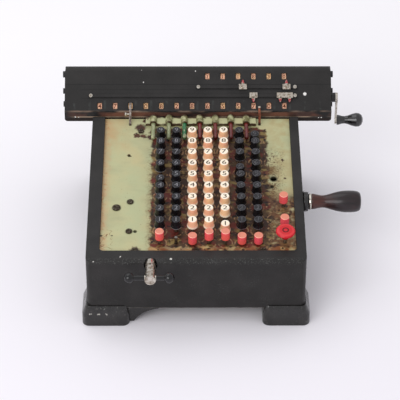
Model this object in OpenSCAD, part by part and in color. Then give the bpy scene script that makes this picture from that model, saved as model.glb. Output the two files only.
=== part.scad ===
// Hand-cranked full-keyboard calculator with a sliding register carriage.
// Sizes are in millimetres. X runs to the right, Y to the back, Z up from the table.
// The origin lies on the table, under the middle of the whole machine's box. The modules draw
// each piece round the middle of the case, and placed() then moves it.

/* [Case] */
// Width of the cast case
body_w = 211.3; // [205:0.1:216]
// Depth of the cast case, front to back
body_d = 254; // [252:1:262]
// Height of the case's lower edge above the table
skirt_h = 18.5; // [17:0.5:20]
// Thickness of the case walls
wall = 4; // [3:0.5:5]
// Radius of the case's upright corners
corner_r = 6; // [4:1:8]
// Radius along the top of the front edge
front_edge_r = 5; // [3:0.5:6]
// Width of the rim left of the keyboard plate
rim_left = 12.7; // [10:0.1:14]
// Width of the rim right of the keyboard plate
rim_right = 9; // [8:0.5:10]
// Height of the rim above the keyboard plate
rim_rise = 3; // [2:0.5:4]
// Thickness of the ledge that carries the keyboard plate
ledge_t = 4; // [3:0.5:5]
// Width of that ledge
ledge_w = 5; // [4:0.5:6]
// Thickness of the sheet pan that closes the case below
pan_t = 1.5; // [1:0.25:2]

/* [Feet] */
// Width of a foot
foot_w = 46; // [42:1:48]
// Depth of a foot
foot_d = 42; // [38:1:46]
// How far a foot stands out beside and in front of the case
foot_out = 5; // [4:0.5:6]
// Height at which a foot starts to slope in
foot_edge_h = 12; // [10:0.5:13]
// How far a foot reaches up round the case's corner
foot_grip = 2.5; // [1.5:0.5:3.5]

/* [Keyboard] */
// Distance between neighbouring key columns
pitch = 15.875; // [15.5:0.125:16.25]
// Slope of the keyboard in degrees
slope = 10; // [9.5:0.5:11]
// Height of the first row's key tops above the table
key_h = 95.5; // [95:0.5:98]
// Distance from the case's front to the first row's key tops
key_front = 40; // [39:0.5:42]
// Distance of the middle column right of the case's middle
mid_column_x = 12.4; // [11:0.1:13]
// Depth that the rods, their cover and the carriage take behind the last row
rear_d = 88.93; // [86:0.01:92]
// Rise of the key tops above the keyboard plate
key_rise = 17; // [16:0.5:18]
// Height of a digit key's cap
cap_h = 9.4; // [8:0.2:10]
// Radius of a digit key's top
cap_r = 4.33; // [4:0.05:4.6]
// Radius of a digit key's flared foot
cap_flare_r = 5.35; // [5:0.05:5.5]
// Height of a clearing key's cap
clear_cap_h = 9.8; // [8:0.2:10]
// Radius of a clearing or control key's cap
clear_cap_r = 4.25; // [4:0.05:4.6]
// Radius of the large key's head
large_key_r = 9.35; // [8.5:0.05:10]
// How far a key goes down
key_travel = 5.5; // [4.5:0.5:6]
// Radius of a key's stem
stem_r = 1.5; // [1.2:0.1:1.8]
// Clearance round a key's stem
stem_gap = 0.3; // [0.2:0.05:0.4]
// Thickness of the keyboard plate
plate_t = 1.5; // [1.2:0.1:2]
// Thickness of the guide plate below it
guide_t = 1.2; // [1:0.1:1.5]

/* [Decimal rods] */
// Radius of a decimal rod
rod_r = 2.1; // [1.8:0.1:2.2]
// Height of a decimal rod's axis above the keyboard plate
rod_rise = 3.6; // [3.4:0.1:4]
// Length of a decimal rod in front of its cover
rod_free = 21.5; // [18:0.5:22]

/* [Main crank] */
// Distance from the crank's shaft to its grip
crank_r = 42; // [40:1:43]
// Angle at which the arm points down to its shaft at rest
arm_angle = 35; // [33:1:38]
// Thickness of the crank arm
arm_t = 4.2; // [3:0.2:5]
// Length of the wooden grip
grip_l = 48.6; // [44:0.2:52]
// Largest radius of the wooden grip
grip_r = 10.8; // [9.5:0.1:11.4]
// Radius of the crank's shaft
crank_shaft_r = 4; // [3.5:0.5:4.5]

/* [Carriage] */
// Length of the carriage
carriage_l = 275.1; // [268:0.1:285]
// How far its left end stands out past the case's left side
carriage_out = 29.15; // [27:0.05:32]
// Thickness of the carriage's end plates
end_t = 5; // [4:0.5:6]
// Thickness of the carriage cover
cover_t = 1.5; // [1.2:0.1:1.8]
// Number of product windows
product_windows = 13; // [11:1:13]
// Number of counter windows
counter_windows = 6; // [5:1:6]
// Number of places between the carriage's left stop and rest
home_places = 2; // [1:1:2]
// Width of a window
window_w = 5.2; // [4.5:0.1:6]
// Height of a window along the cover's slope
window_h = 6.6; // [6:0.1:7]
// Radius of a product dial
product_dial_r = 10; // [9.5:0.1:10]
// Radius of a counter dial
counter_dial_r = 8; // [7.5:0.1:8]
// Width of a dial
dial_w = 7; // [6.5:0.1:7]
// Length of the clearing crank between its two axes
clear_crank_r = 27.6; // [24:0.2:28]

/* [Shift handle] */
// Depth of the shift handle's shaft below the plate's front edge
shift_drop = 2.35; // [2.35:0.05:3]
// Distance from the case's middle left to the shift handle's shaft
shift_left = 43.5; // [43:0.1:44]
// Radius of the shift handle's front end
shift_r = 5.2; // [4.6:0.1:5.4]
// How far the shift handle stands out in front of the case
shift_out = 24.2; // [22:0.1:28]
// Distance between the balls of its cross bar
shift_bar_l = 38; // [34:0.5:42]
// Radius of those balls
shift_ball_r = 5.1; // [4.5:0.1:5.5]

/* [Hidden] */

$fn = 48;
// Small gaps: between a seat and what rests on it, and round a running shaft
seat_gap = 0.3;
fit_gap = 0.05;
// Overshoot of a cutting tool past the face that it cuts
cut = 1;

columns = 7;
black = "#2b2b2d";
steel = "#8d8a84";
nickel = "#c2bcb0";
brown_steel = "#6b4a38";

// The keyboard's own frame: s runs up the slope, n stands square to it.
key_y = -body_d / 2 + key_front;
rows = 9;
// The rows share the depth that the front and the rear leave.
row_pitch = (body_d - key_front - rear_d) / (rows - 1) / cos(slope);
function slope_y(s, n) = key_y + s * cos(slope) - n * sin(slope);
function slope_z(s, n) = key_h + s * sin(slope) + n * cos(slope);
module on_slope() { translate([0, key_y, key_h]) rotate([slope, 0, 0]) children(); }
function column_x(k) = mid_column_x + (k - 4) * pitch;
function row_s(r) = (r - 1) * row_pitch;

plate_n = -key_rise;
rim_n = plate_n + rim_rise;
plate_under_n = plate_n - plate_t;
ledge_under_n = plate_under_n - ledge_t;
plate_x0 = -body_w / 2 + rim_left;
plate_x1 = body_w / 2 - rim_right;
front_rim_s = -28.5;
plate_corner_r = 4;
// The plate ends behind the last row, where the carriage begins.
rod_start_s = row_s(rows) + 0.5;
rod_cover_s = rod_start_s + rod_free;
rod_cover_l = 10.8;
plate_back_s = rod_cover_s + rod_cover_l + 1.2;
rod_n = plate_n + rod_rise;
rod_back_s = rod_cover_s + rod_cover_l - 0.8;

// A collar under the plate stops each key at the top, and the guide plate at the bottom.
collar_r = 2.5;
collar_t = 1.2;
collar_n = plate_under_n - seat_gap;
guide_n = collar_n - collar_t - key_travel - seat_gap;
stem_end_n = guide_n - guide_t - 3;
guide_x0 = column_x(1) - 27;
guide_x1 = body_w / 2 - 10.5;
guide_s0 = row_s(0) - 6;
guide_s1 = row_s(rows) + 10;
hole_r = stem_r + stem_gap;

// Control keys stand right of the columns.
control_x = body_w / 2 - 19.95;
rear_control_s = 33.8;
front_control_s = 3.3;
large_control_s = -14.9;

// Case and deck heights behind the keyboard
rim_end_y = slope_y(plate_back_s, plate_n) - 0.6;
rim_end_z = slope_z(plate_back_s, rim_n);
carriage_y0 = rim_end_y + 2;
carriage_z0 = rim_end_z - 6.4;
deck_z = carriage_z0 - 6.2;
pan_top = skirt_h + pan_t;
inner_x = body_w / 2 - wall;

// Carriage section: a lip, a face at 45 degrees, a round top and a sloping back
carriage_x0 = -body_w / 2 - carriage_out;
carriage_x1 = carriage_x0 + carriage_l;
lip_h = 11.5;
lip_t = 3;
face_y0 = carriage_y0 + 1;
face_z0 = carriage_z0 + lip_h;
face_run = 29.2;
top_r = 8;
top_c = [face_y0 + face_run + top_r * sin(45), face_z0 + face_run - top_r * cos(45)];
back_r = 7;
carriage_y1 = carriage_y0 + 51.5;
back_c = [carriage_y1 - back_r, carriage_z0 + 14.3];
sill_h = 3;
sill_y0 = carriage_y0 + 28;
// A place on the cover's face, at a run up from its lower edge and a depth below the face
function face_pt(run, depth) =
    [face_y0 + run + depth * sin(45), face_z0 + run - depth * cos(45)];
dial_gap = 0.8;
product_run = 4;
counter_run = 26.2;
product_c = face_pt(product_run, cover_t + dial_gap + product_dial_r);
counter_c = face_pt(counter_run, cover_t + dial_gap + counter_dial_r);
last_window_x = column_x(columns) + home_places * pitch;
dial_shaft_r = 2.5;
upper_rail_run = 17.8;
lower_rail_run = 11.4;
rail_proud = 1.6;
upper_rail_x = [carriage_x1 - 137.2, carriage_x1 - 37.5];
lower_rail_x = [carriage_x0 + 27, carriage_x1 - 37.5];
clear_c = [carriage_y0 + 16.5, carriage_z0 + 18.5];
clear_shaft_r = 2.5;
clear_arm_x = carriage_x1 + 4.9;
clear_arm_t = 2;
knob_l = 27.1;
knob_pin_r = 1.5;

// Main crank
arm_x = body_w / 2 + 0.75;
arm_end_r = 9.5;
arm_hub_r = 11;
grip_pin_r = 3;
ferrule_t = 3.2;
ferrule_x = arm_x + arm_t + seat_gap;
grip_x = ferrule_x + ferrule_t;
shift_x = -shift_left;
shift_bar_back = 4.2;
boss_l = 2.4;

// Gear trains. Every gear has a module, a tooth count and an angle for one tooth.
gear_m = 1;
crank_teeth = 32;
idler_teeth = 27;
dial_teeth = 16;
intermediate_teeth = 20;
selecting_teeth = 26;
function pitch_r(teeth, m) = teeth * m / 2;
// Angle of a tooth on a second gear that meshes with a first one in direction dir
function mesh_angle(dir, angle, teeth_a, teeth_b) =
    dir + 180 - (angle - dir) * teeth_a / teeth_b + 180 / teeth_b;
function along(c, dir, d) = [c[0] + d * cos(dir), c[1] + d * sin(dir)];
train_dir = 2.9;
idler_angle = mesh_angle(train_dir, train_dir, crank_teeth, idler_teeth);
drum_gear_angle = mesh_angle(train_dir, idler_angle, idler_teeth, crank_teeth);
// The dials pass over the intermediate gears with this gap while the carriage shifts.
dial_pass_gap = 0.4;
dial_dir = -83;
select_dir = 212;
intermediate_c = along(product_c, dial_dir,
    product_dial_r + pitch_r(intermediate_teeth, gear_m) + 0.8 * gear_m + dial_pass_gap);
selecting_c = along(intermediate_c, select_dir,
    pitch_r(intermediate_teeth + selecting_teeth, gear_m));
drum_r = 14;
drum_core_r = 11;
drum_w = 8;
drum_select_dir = 210.08;
drum_clear = 1.03;
drum_c = along(selecting_c, drum_select_dir,
    pitch_r(selecting_teeth, gear_m) + 0.8 * gear_m + drum_core_r + drum_clear);
// The train leads forward from the drums to the crank, whose arm points up to the grip.
idler_c = along(drum_c, train_dir + 180, pitch_r(crank_teeth + idler_teeth, gear_m));
crank_c = along(idler_c, train_dir + 180, pitch_r(crank_teeth + idler_teeth, gear_m));
grip_c = along(crank_c, 180 - arm_angle, crank_r);
intermediate_angle = dial_dir;
selecting_angle = mesh_angle(select_dir, intermediate_angle, intermediate_teeth, selecting_teeth);
// Each column's gears stand just right of its dial, and its drum right of the gears.
column_gear_dx = 3.8;
column_gear_w = 3;
drum_dx = column_gear_dx + column_gear_w + 0.3;
train_x = column_x(columns) + drum_dx + drum_w + 2;
train_w = 5;
shaft_r = 2.5;
frame_t = 3;
frame_left_x = column_x(1) - 26;
frame_right_x = train_x + train_w + 1.5;

// Shift drive: half a turn of the handle moves the carriage one place.
shift_m = pitch / 5 / PI;
shift_pinion_teeth = 10;
shift_idler_teeth = 24;
shift_shaft_r = 2;
shift_h = slope_z(front_rim_s, plate_under_n) - shift_drop;
shift_c = [shift_x, shift_h];
shift_idler_c = [shift_x,
    shift_h + pitch_r(shift_pinion_teeth + shift_idler_teeth, shift_m)];
rack_z = shift_idler_c[1] + pitch_r(shift_idler_teeth, shift_m);
shift_idler_angle = mesh_angle(90, 90, shift_pinion_teeth, shift_idler_teeth);
rack_y = sill_y0 + 0.5;
rack_w = 4;
rack_x0 = shift_x - (columns - 1 - home_places) * pitch - 5;
rack_x1 = shift_x + home_places * pitch + 5;
bracket_y = rack_y + rack_w + 1;

// Guide fingers stand in holes of the plate and lean back over the carriage's lip.
finger_x = [-67, 65.8];
finger_w = 2.4;
finger_t = 1.2;
finger_run = [5.4, 2.6];
finger_lift = 3.4;
finger_s = rod_cover_s + 2.2;

// Feet
foot_x = body_w / 2 + foot_out - foot_w / 2;
foot_y = body_d / 2 + foot_out - foot_d / 2;
foot_top = skirt_h + foot_grip;
foot_hole_r = 2.1;

// An arc of points in degrees
function arc(c, r, a0, a1, steps) =
    [for (i = [0:steps]) let (a = a0 + (a1 - a0) * i / steps) [c[0] + r * cos(a), c[1] + r * sin(a)]];

// The middle of the whole machine's box, from the carriage's left bosses to the clearing knob, and
// from the shift handle's balls to the rear feet
middle_x = (carriage_x0 - boss_l + clear_arm_x + clear_arm_t + seat_gap + knob_l) / 2;
middle_y = (foot_out - shift_out + shift_bar_back - shift_ball_r) / 2;
module placed() { translate([-middle_x, -middle_y, 0]) children(); }

// Extrudes a side view, drawn as Y and Z, along X
module along_x(x0, x1) { translate([x0, 0, 0]) rotate([90, 0, 90]) linear_extrude(x1 - x0) children(); }
// Extrudes a front view, drawn as X and Z, along Y
module along_y(y0, y1) { translate([0, y1, 0]) rotate([90, 0, 0]) linear_extrude(y1 - y0) children(); }
// A round bar along X through a point given as Y and Z
module bar_x(c, r, x0, x1) { translate([x0, c[0], c[1]]) rotate([0, 90, 0]) cylinder(r = r, h = x1 - x0); }
// A round bar along Y through a point given as X and Z
module bar_y(c, r, y0, y1) { translate([c[0], y0, c[1]]) rotate([-90, 0, 0]) cylinder(r = r, h = y1 - y0); }

module rounded_box(x0, x1, y0, y1, r) {
    translate([x0, y0 + r]) square([x1 - x0, y1 - y0 - 2 * r]);
    translate([x0 + r, y0]) square([x1 - x0 - 2 * r, y1 - y0]);
    for (x = [x0 + r, x1 - r]) for (y = [y0 + r, y1 - r]) translate([x, y]) circle(r);
}

// A gear's outline with straight-sided teeth, thin enough to run free
module gear_outline(teeth, m, angle) {
    r = pitch_r(teeth, m);
    tip_r = r + 0.8 * m;
    root_r = r - 1.15 * m;
    tip_a = 0.33 * m / tip_r * 180 / PI;
    root_a = 1.02 * m / root_r * 180 / PI;
    polygon([for (i = [0:teeth - 1]) for (p = [[root_r, -root_a], [tip_r, -tip_a],
        [tip_r, tip_a], [root_r, root_a]]) let (a = angle + i * 360 / teeth + p[1])
        [p[0] * cos(a), p[0] * sin(a)]]);
}
module gear_x(c, teeth, angle, x0, w) {
    translate([x0, c[0], c[1]]) rotate([90, 0, 90]) linear_extrude(w) gear_outline(teeth, gear_m, angle);
}

// The case's side view above its lower edge
function case_side() =
    let (front = -body_d / 2,
         top_z = slope_z(0, rim_n) - tan(slope) * (slope_y(0, rim_n) - front),
         edge_c = [front + front_edge_r,
             top_z + front_edge_r * tan(slope) - front_edge_r / cos(slope)])
    concat([[front, skirt_h]], arc(edge_c, front_edge_r, 180, 90 + slope, 6),
        [[rim_end_y, rim_end_z], [rim_end_y, deck_z], [body_d / 2, deck_z], [body_d / 2, skirt_h]]);

module plate_outline(gap, back_s) {
    rounded_box(plate_x0 + gap, plate_x1 - gap, front_rim_s + gap, back_s, plate_corner_r);
}

// The hollow inside the case: under the keyboard, and open to the carriage behind it
module case_hollow() {
    bar_back = rim_end_y - 4;
    along_x(-inner_x, inner_x) polygon([[-body_d / 2 + wall, skirt_h - cut],
        [-body_d / 2 + wall, slope_z(0, ledge_under_n) - tan(slope) * (slope_y(0, ledge_under_n)
            + body_d / 2 - wall)],
        [bar_back, slope_z(0, ledge_under_n) + tan(slope) * (bar_back - slope_y(0, ledge_under_n))],
        [bar_back, deck_z + cut], [rim_end_y + 0.01, deck_z + cut], [rim_end_y + 0.01, deck_z + 20],
        [body_d / 2 - wall, deck_z + 20], [body_d / 2 - wall, skirt_h - cut]]);
    on_slope() translate([0, 0, ledge_under_n - 3]) linear_extrude(ledge_t + 4)
        rounded_box(plate_x0 + ledge_w, plate_x1 - ledge_w, front_rim_s + ledge_w,
            plate_back_s - ledge_w, 2);
    on_slope() translate([0, 0, plate_under_n]) linear_extrude(20) plate_outline(0, plate_back_s + 12);
}

module case_body() {
    notch_r = shift_r + 1.4;
    slot_y = slope_y(front_rim_s, plate_under_n) - 0.3;
    color(black) placed() difference() {
        intersection() {
            translate([0, 0, skirt_h]) linear_extrude(rim_end_z)
                rounded_box(-body_w / 2, body_w / 2, -body_d / 2, body_d / 2, corner_r);
            along_x(-body_w / 2 - cut, body_w / 2 + cut) polygon(case_side());
        }
        difference() {
            case_hollow();
            // Bosses that carry the crank's shaft and the shift handle's shaft
            bar_x(crank_c, crank_shaft_r + 5, inner_x - 4, body_w / 2);
            bar_y(shift_c, shift_shaft_r + 3.2, -body_d / 2, -body_d / 2 + wall + 5);
        }
        bar_x(crank_c, crank_shaft_r + fit_gap, inner_x - 10, body_w / 2 + cut);
        bar_y(shift_c, shift_shaft_r + fit_gap, -body_d / 2 - cut, slot_y + cut);
        bar_y(shift_c, notch_r, -body_d / 2 - cut, -body_d / 2 + wall);
        // The shaft crosses the plate's ledge in an open slot.
        translate([shift_x - shift_shaft_r - 1.2, slot_y, shift_h - 8])
            cube([2 * shift_shaft_r + 2.4, ledge_w + 4, 8 + shift_drop + 1]);
        // Blind holes for the plate's front screws
        for (x = front_screw_x) on_slope() translate([x, front_screw_s, plate_under_n - 2.5])
            cylinder(r = screw_shank_r + fit_gap, h = 4);
    }
}

module base_pan() {
    inset = 1.5;
    color(steel) placed() difference() {
        translate([0, 0, skirt_h - pan_t]) linear_extrude(pan_t) difference() {
            rounded_box(-body_w / 2 + inset, body_w / 2 - inset,
                -body_d / 2 + inset, body_d / 2 - inset, corner_r - inset);
            for (x = [-1, 1]) for (y = [-1, 1]) translate([x * foot_screw_x, y * foot_screw_y])
                circle(foot_hole_r);
        }
    }
}
foot_screw_x = foot_x - 2;
foot_screw_y = foot_y - 2;

// One foot, for the corner with positive X and Y
module foot() {
    slope_in = 6;
    difference() {
        hull() {
            linear_extrude(foot_edge_h) rounded_box(foot_x - foot_w / 2, foot_x + foot_w / 2,
                foot_y - foot_d / 2, foot_y + foot_d / 2, 7, $fn = 32);
            translate([0, 0, foot_top - 0.5]) linear_extrude(0.5)
                rounded_box(foot_x - foot_w / 2 + 2, foot_x + foot_w / 2 - slope_in + 2,
                    foot_y - foot_d / 2 + 2, foot_y + foot_d / 2 - slope_in + 2, 5, $fn = 32);
        }
        // The case and the pan stand in this corner.
        translate([0, 0, skirt_h - pan_t]) linear_extrude(foot_top) rounded_box(-body_w / 2 - 0.1,
            body_w / 2 + 0.1, -body_d / 2 - 0.1, body_d / 2 + 0.1, corner_r + 0.1);
        translate([foot_screw_x, foot_screw_y, -cut]) cylinder(r = foot_hole_r, h = 40);
        translate([foot_screw_x, foot_screw_y, -cut]) cylinder(r = foot_recess_r, h = foot_recess_h + cut);
    }
}
foot_recess_r = 5.5;
foot_recess_h = 8;

module feet() {
    web_x0 = -foot_x + foot_w / 2;
    web_r = 30.5;
    color(black) placed() {
        for (x = [0, 1]) for (y = [0, 1]) mirror([x, 0, 0]) mirror([0, y, 0]) foot();
        // A curved web braces the front left foot against the case's lower edge.
        along_y(-body_d / 2 + 2, -body_d / 2 + 8) polygon(concat(
            [[web_x0 - 2, 0.7]], arc([web_x0 + web_r, 15.8 - web_r], web_r, 150, 96, 8),
            [[web_x0 + web_r, skirt_h - pan_t], [web_x0 - 2, skirt_h - pan_t]]));
    }
}

// Fixing places on the plate, as X and S
front_screw_x = [-59.5, 0.4, 64];
front_screw_s = front_rim_s + 2.8;
screw_shank_r = 1.3;
screw_head_r = 2.7;
plate_screws = [[-64.6, 40, 3.1], [-78, 31.8, 4], [-65.1, -0.3, 3.1], [-55.7, rod_cover_s - 7, 3.1]];
plate_holes = [[-67.1, 106.1, 1.7], [77.6, 72.3, 3], [75.7, 61.2, 1.8], [-59.2, -0.3, 1.7]];

module stem_holes(r) {
    for (k = [1:columns]) for (i = [0:rows]) translate([column_x(k), row_s(i)]) circle(r);
    for (s = [rear_control_s, front_control_s, large_control_s]) translate([control_x, s]) circle(r);
}

module keyboard_plate() {
    bump_r = rod_r + 1.6;
    color("#b9c19a") placed() on_slope() difference() {
        union() {
            translate([0, 0, plate_under_n]) linear_extrude(plate_t) difference() {
                union() {
                    plate_outline(0.2, plate_back_s);
                    // The back edge runs square under the carriage.
                    translate([plate_x0 + 0.2, plate_back_s - plate_corner_r])
                        square([plate_x1 - plate_x0 - 0.4, plate_corner_r]);
                }
                stem_holes(hole_r);
                for (h = plate_holes) translate([h[0], h[1]]) circle(h[2]);
                for (h = plate_screws) translate([h[0], h[1]]) circle(screw_shank_r + fit_gap);
                for (x = front_screw_x) translate([x, front_screw_s]) circle(screw_shank_r + fit_gap);
                for (x = finger_x) translate([x - finger_w / 2 - 0.2, finger_s - 0.3])
                    square([finger_w + 0.4, finger_t + 1.3]);
            }
            // A raised strip covers the back ends of the decimal rods.
            translate([column_x(1) - pitch, rod_cover_s, plate_n - 0.2])
                cube([columns * pitch + 2, rod_cover_l, rod_rise + 0.2]);
            for (k = [1:columns]) translate([column_x(k) - pitch / 2, rod_cover_s, rod_n])
                rotate([-90, 0, 0]) cylinder(r = bump_r, h = rod_cover_l);
        }
        for (k = [1:columns]) translate([column_x(k) - pitch / 2, rod_cover_s - cut, rod_n])
            rotate([-90, 0, 0]) cylinder(r = rod_r + fit_gap, h = rod_cover_l + 2 * cut);
    }
}

module key_guide_plate() {
    slot_end_s = (shift_h + shift_shaft_r + 0.8 - slope_z(0, guide_n - guide_t)) / sin(slope);
    color(steel) placed() on_slope() translate([0, 0, guide_n - guide_t])
            linear_extrude(guide_t) difference() {
        translate([guide_x0, guide_s0]) square([guide_x1 - guide_x0, guide_s1 - guide_s0]);
        stem_holes(hole_r);
        // The shift handle's shaft passes through here.
        translate([shift_x - shift_shaft_r - 0.6, guide_s0 - cut])
            square([2 * shift_shaft_r + 1.2, slot_end_s - guide_s0 + cut]);
    }
}

// A round head with a slot on a short shank, standing on the plate
module plate_screw(head_r, head_h, shank_l) {
    difference() {
        union() {
            cylinder(r = head_r, h = head_h);
            translate([0, 0, -shank_l]) cylinder(r = screw_shank_r, h = shank_l);
        }
        translate([-head_r - cut, -0.35, head_h - 0.6]) cube([2 * head_r + 2 * cut, 0.7, 2]);
    }
}

module case_screws() {
    color(steel) placed() {
        on_slope() translate([0, 0, plate_n]) {
            for (x = front_screw_x) translate([x, front_screw_s, 0])
                plate_screw(screw_head_r, 1.2, plate_t + 2.2);
            for (p = plate_screws) translate([p[0], p[1], 0]) plate_screw(p[2], 1.1, plate_t + 1.6);
        }
        for (x = [-1, 1]) for (y = [-1, 1]) translate([x * foot_screw_x, y * foot_screw_y, 0]) {
            translate([0, 0, foot_recess_h - 3]) cylinder(r = 4.5, h = 3);
            translate([0, 0, foot_recess_h]) cylinder(r = 2, h = skirt_h - 0.1 - foot_recess_h);
        }
    }
}

// Side view of the frame's plates, which stand on the pan under the guide plate
module frame_side() {
    top_n = guide_n - guide_t;
    front_y = crank_c[0] - 21.4;
    back_y = bracket_y + frame_t;
    polygon([[front_y, skirt_h], [front_y, slope_z(0, top_n) + tan(slope) * (front_y - slope_y(0, top_n))],
        [slope_y(guide_s1, top_n), slope_z(guide_s1, top_n)],
        [intermediate_c[0] - 6, intermediate_c[1] + 5],
        [intermediate_c[0] + 5, intermediate_c[1] + 5],
        [back_y, shift_idler_c[1] + 6], [back_y, skirt_h]]);
}

module mechanism_frame() {
    tie_r = 3;
    bush_r = shaft_r + 2;
    color(steel) placed() difference() {
        union() {
            for (x = [frame_left_x, frame_right_x]) along_x(x, x + frame_t) frame_side();
            for (c = [[crank_c[0] - 9.4, skirt_h + 12], [crank_c[0] + 28.6, skirt_h + 10],
                [bracket_y - 19.4, skirt_h + 40]])
                bar_x(c, tie_r, frame_left_x, frame_right_x + frame_t);
            // Plate behind the gears, which carries the shift shaft and its idler
            along_y(bracket_y, bracket_y + frame_t) polygon([[frame_left_x, skirt_h],
                [frame_left_x, shift_idler_c[1] + 6], [shift_x + 9, shift_idler_c[1] + 6],
                [shift_x + 14, skirt_h + 22], [frame_right_x + frame_t, skirt_h + 22],
                [frame_right_x + frame_t, skirt_h]]);
            // Studs of the drive idler and the shift idler
            bar_x(idler_c, shaft_r, train_x, frame_right_x + frame_t);
            bar_y(shift_idler_c, shift_shaft_r, rack_y, bracket_y + frame_t);
        }
        bar_x(crank_c, crank_shaft_r + fit_gap, frame_right_x - cut, frame_right_x + frame_t + cut);
        for (c = [drum_c, selecting_c, intermediate_c])
            bar_x(c, shaft_r + fit_gap, frame_left_x - cut, frame_right_x + frame_t + cut);
        bar_y(shift_c, shift_shaft_r + fit_gap, bracket_y - cut, bracket_y + frame_t + cut);
    }
}

module carriage_rails() {
    rail_h = carriage_z0 - deck_z - seat_gap;
    color(steel) placed() {
        translate([-inner_x - 2, carriage_y0 - 0.5, deck_z]) cube([2 * inner_x + 4, 4, rail_h]);
        translate([-inner_x - 2, carriage_y1 - 14, deck_z]) cube([2 * inner_x + 4, 6, rail_h]);
    }
}

// A finger's side view: up out of the plate, then back over the lip along the face
module finger_side(run) {
    foot_y = slope_y(finger_s, plate_under_n);
    foot_z = slope_z(finger_s, plate_under_n - 0.8);
    knee = [foot_y + 3.2, face_z0 + 1.5];
    tip = face_pt(run, -finger_lift);
    polygon([[foot_y, foot_z], [foot_y + finger_t, foot_z], [knee[0] + finger_t, knee[1] - 0.8],
        [tip[0] + finger_t, tip[1]], tip, [knee[0], knee[1] + 0.6]]);
}

module guide_fingers() {
    color(brown_steel) placed() for (i = [0, 1]) {
        x = finger_x[i];
        along_x(x - finger_w / 2, x + finger_w / 2) finger_side(finger_run[i]);
        // The finger's foot, held under the plate
        on_slope() translate([x - 3, finger_s - 6, plate_under_n - 1.5]) cube([6, 10, 1.5]);
    }
}

// Thin strips beside the stems that catch a pressed key
module latch_slides() {
    strip_t = 1;
    strip_h = 3;
    strip_n = collar_n - collar_t - 3.6;
    color(steel) placed() on_slope() for (k = [1:columns])
        translate([column_x(k) - 4.2, guide_s0 + 3, guide_n + seat_gap])
            cube([strip_t, guide_s1 - guide_s0 - 8, strip_h]);
}

// Caps are turned shapes, with their top at height zero.
module digit_cap() {
    rotate_extrude() polygon([[0, -cap_h], [cap_flare_r, -cap_h], [cap_flare_r, -cap_h + 0.9],
        [cap_r + 0.25, -cap_h + 3.6], [cap_r, -0.7], [cap_r - 0.5, 0], [cap_r - 0.9, -0.3], [0, -0.3]]);
}
module round_cap(r, h) {
    rotate_extrude() polygon([[0, -h], [r, -h], [r, -0.6], [r - 0.5, 0], [0, 0]]);
}
module large_cap() {
    rotate_extrude() polygon([[0, -9.6], [3.9, -9.6], [3.9, -4.2], [large_key_r - 1.2, -3.4],
        [large_key_r, -2.3], [large_key_r, -1.4], [large_key_r - 0.9, -0.4], [5, 0], [0, 0]]);
}
module stem(top) {
    translate([0, 0, stem_end_n]) cylinder(r = stem_r, h = top - stem_end_n);
    translate([0, 0, collar_n - collar_t]) cylinder(r = collar_r, h = collar_t);
}
module at_key(x, s, down) { on_slope() translate([x, s, down ? -key_travel : 0]) children(); }

// Digits that stand latched down, as column and row
latched = [[1, 5], [5, 1], [6, 6], [7, 9]];
function latched_row(k) = [for (p = latched) if (p[0] == k) p[1]];
function is_latched(k, r) = len([for (p = latched_row(k)) if (p == r) p]) > 0;
function digit_color(k) = k > 2 && k < 6 ? "#f0dfc4" : black;

module digit_key(k, r, down) {
    color(digit_color(k)) placed() at_key(column_x(k), row_s(r), down) {
        digit_cap();
        stem(-cap_h + 1);
    }
}
module digit_keys(k) { for (r = [1:rows]) if (!is_latched(k, r)) digit_key(k, r, false); }
module latched_key(k) { digit_key(k, latched_row(k)[0], true); }

// The second column's clearing key has lost its cap.
clear_down = [3, 6, 7];
bare_column = 2;
module clear_key(k) {
    down = len([for (c = clear_down) if (c == k) c]) > 0;
    color(k == bare_column ? nickel : "#d9483a") placed() at_key(column_x(k), row_s(0), down) {
        if (k != bare_column) round_cap(clear_cap_r, clear_cap_h);
        stem(-clear_cap_h + 1);
    }
}
module control_key(s) {
    color("#d9483a") placed() at_key(control_x, s, false) {
        round_cap(clear_cap_r, clear_cap_h);
        stem(-clear_cap_h + 1);
    }
}
module large_control_key() {
    color("#d0282c") placed() at_key(control_x, large_control_s, false) {
        large_cap();
        stem(-5);
    }
}

rod_colors = ["#8f9a6a", "#8f9a6a", "#2f7a45", "#a32a26", "#a32a26", "#a32a26", "#a32a26"];
module decimal_rod(k) {
    color(rod_colors[k - 1]) placed() on_slope() translate([column_x(k) - pitch / 2, rod_start_s, rod_n])
        rotate([-90, 0, 0]) rotate_extrude() polygon(concat(
            [[0, 0]], arc([rod_r - 1.4, 1.4], 1.4, -90, 0, 5),
            [[rod_r, rod_back_s - rod_start_s], [0, rod_back_s - rod_start_s]]));
}

module crank_arm() {
    d = crank_c - grip_c;
    side = [sin(arm_angle), cos(arm_angle)];
    color(black) placed() difference() {
        union() {
            bar_x(crank_c, arm_hub_r, arm_x, arm_x + arm_t);
            bar_x(grip_c, arm_end_r, arm_x, arm_x + arm_t);
            along_x(arm_x, arm_x + arm_t) polygon([grip_c + side * (arm_end_r - 0.1),
                crank_c + side * (arm_hub_r - 0.1), crank_c - side * (arm_hub_r - 0.1),
                grip_c - side * (arm_end_r - 0.1)]);
            bar_x(grip_c, grip_pin_r, arm_x, grip_x + grip_l - 8);
        }
        bar_x(crank_c, crank_shaft_r + fit_gap, arm_x - cut, arm_x + arm_t + cut);
    }
}

module crank_shaft() {
    color(steel) placed() {
        bar_x(crank_c, crank_shaft_r, train_x - 3, arm_x + arm_t + 1.5);
        bar_x(crank_c, crank_shaft_r + 3, arm_x + arm_t + 0.02, arm_x + arm_t + 2);
        gear_x(crank_c, crank_teeth, train_dir, train_x, train_w);
    }
}

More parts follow.
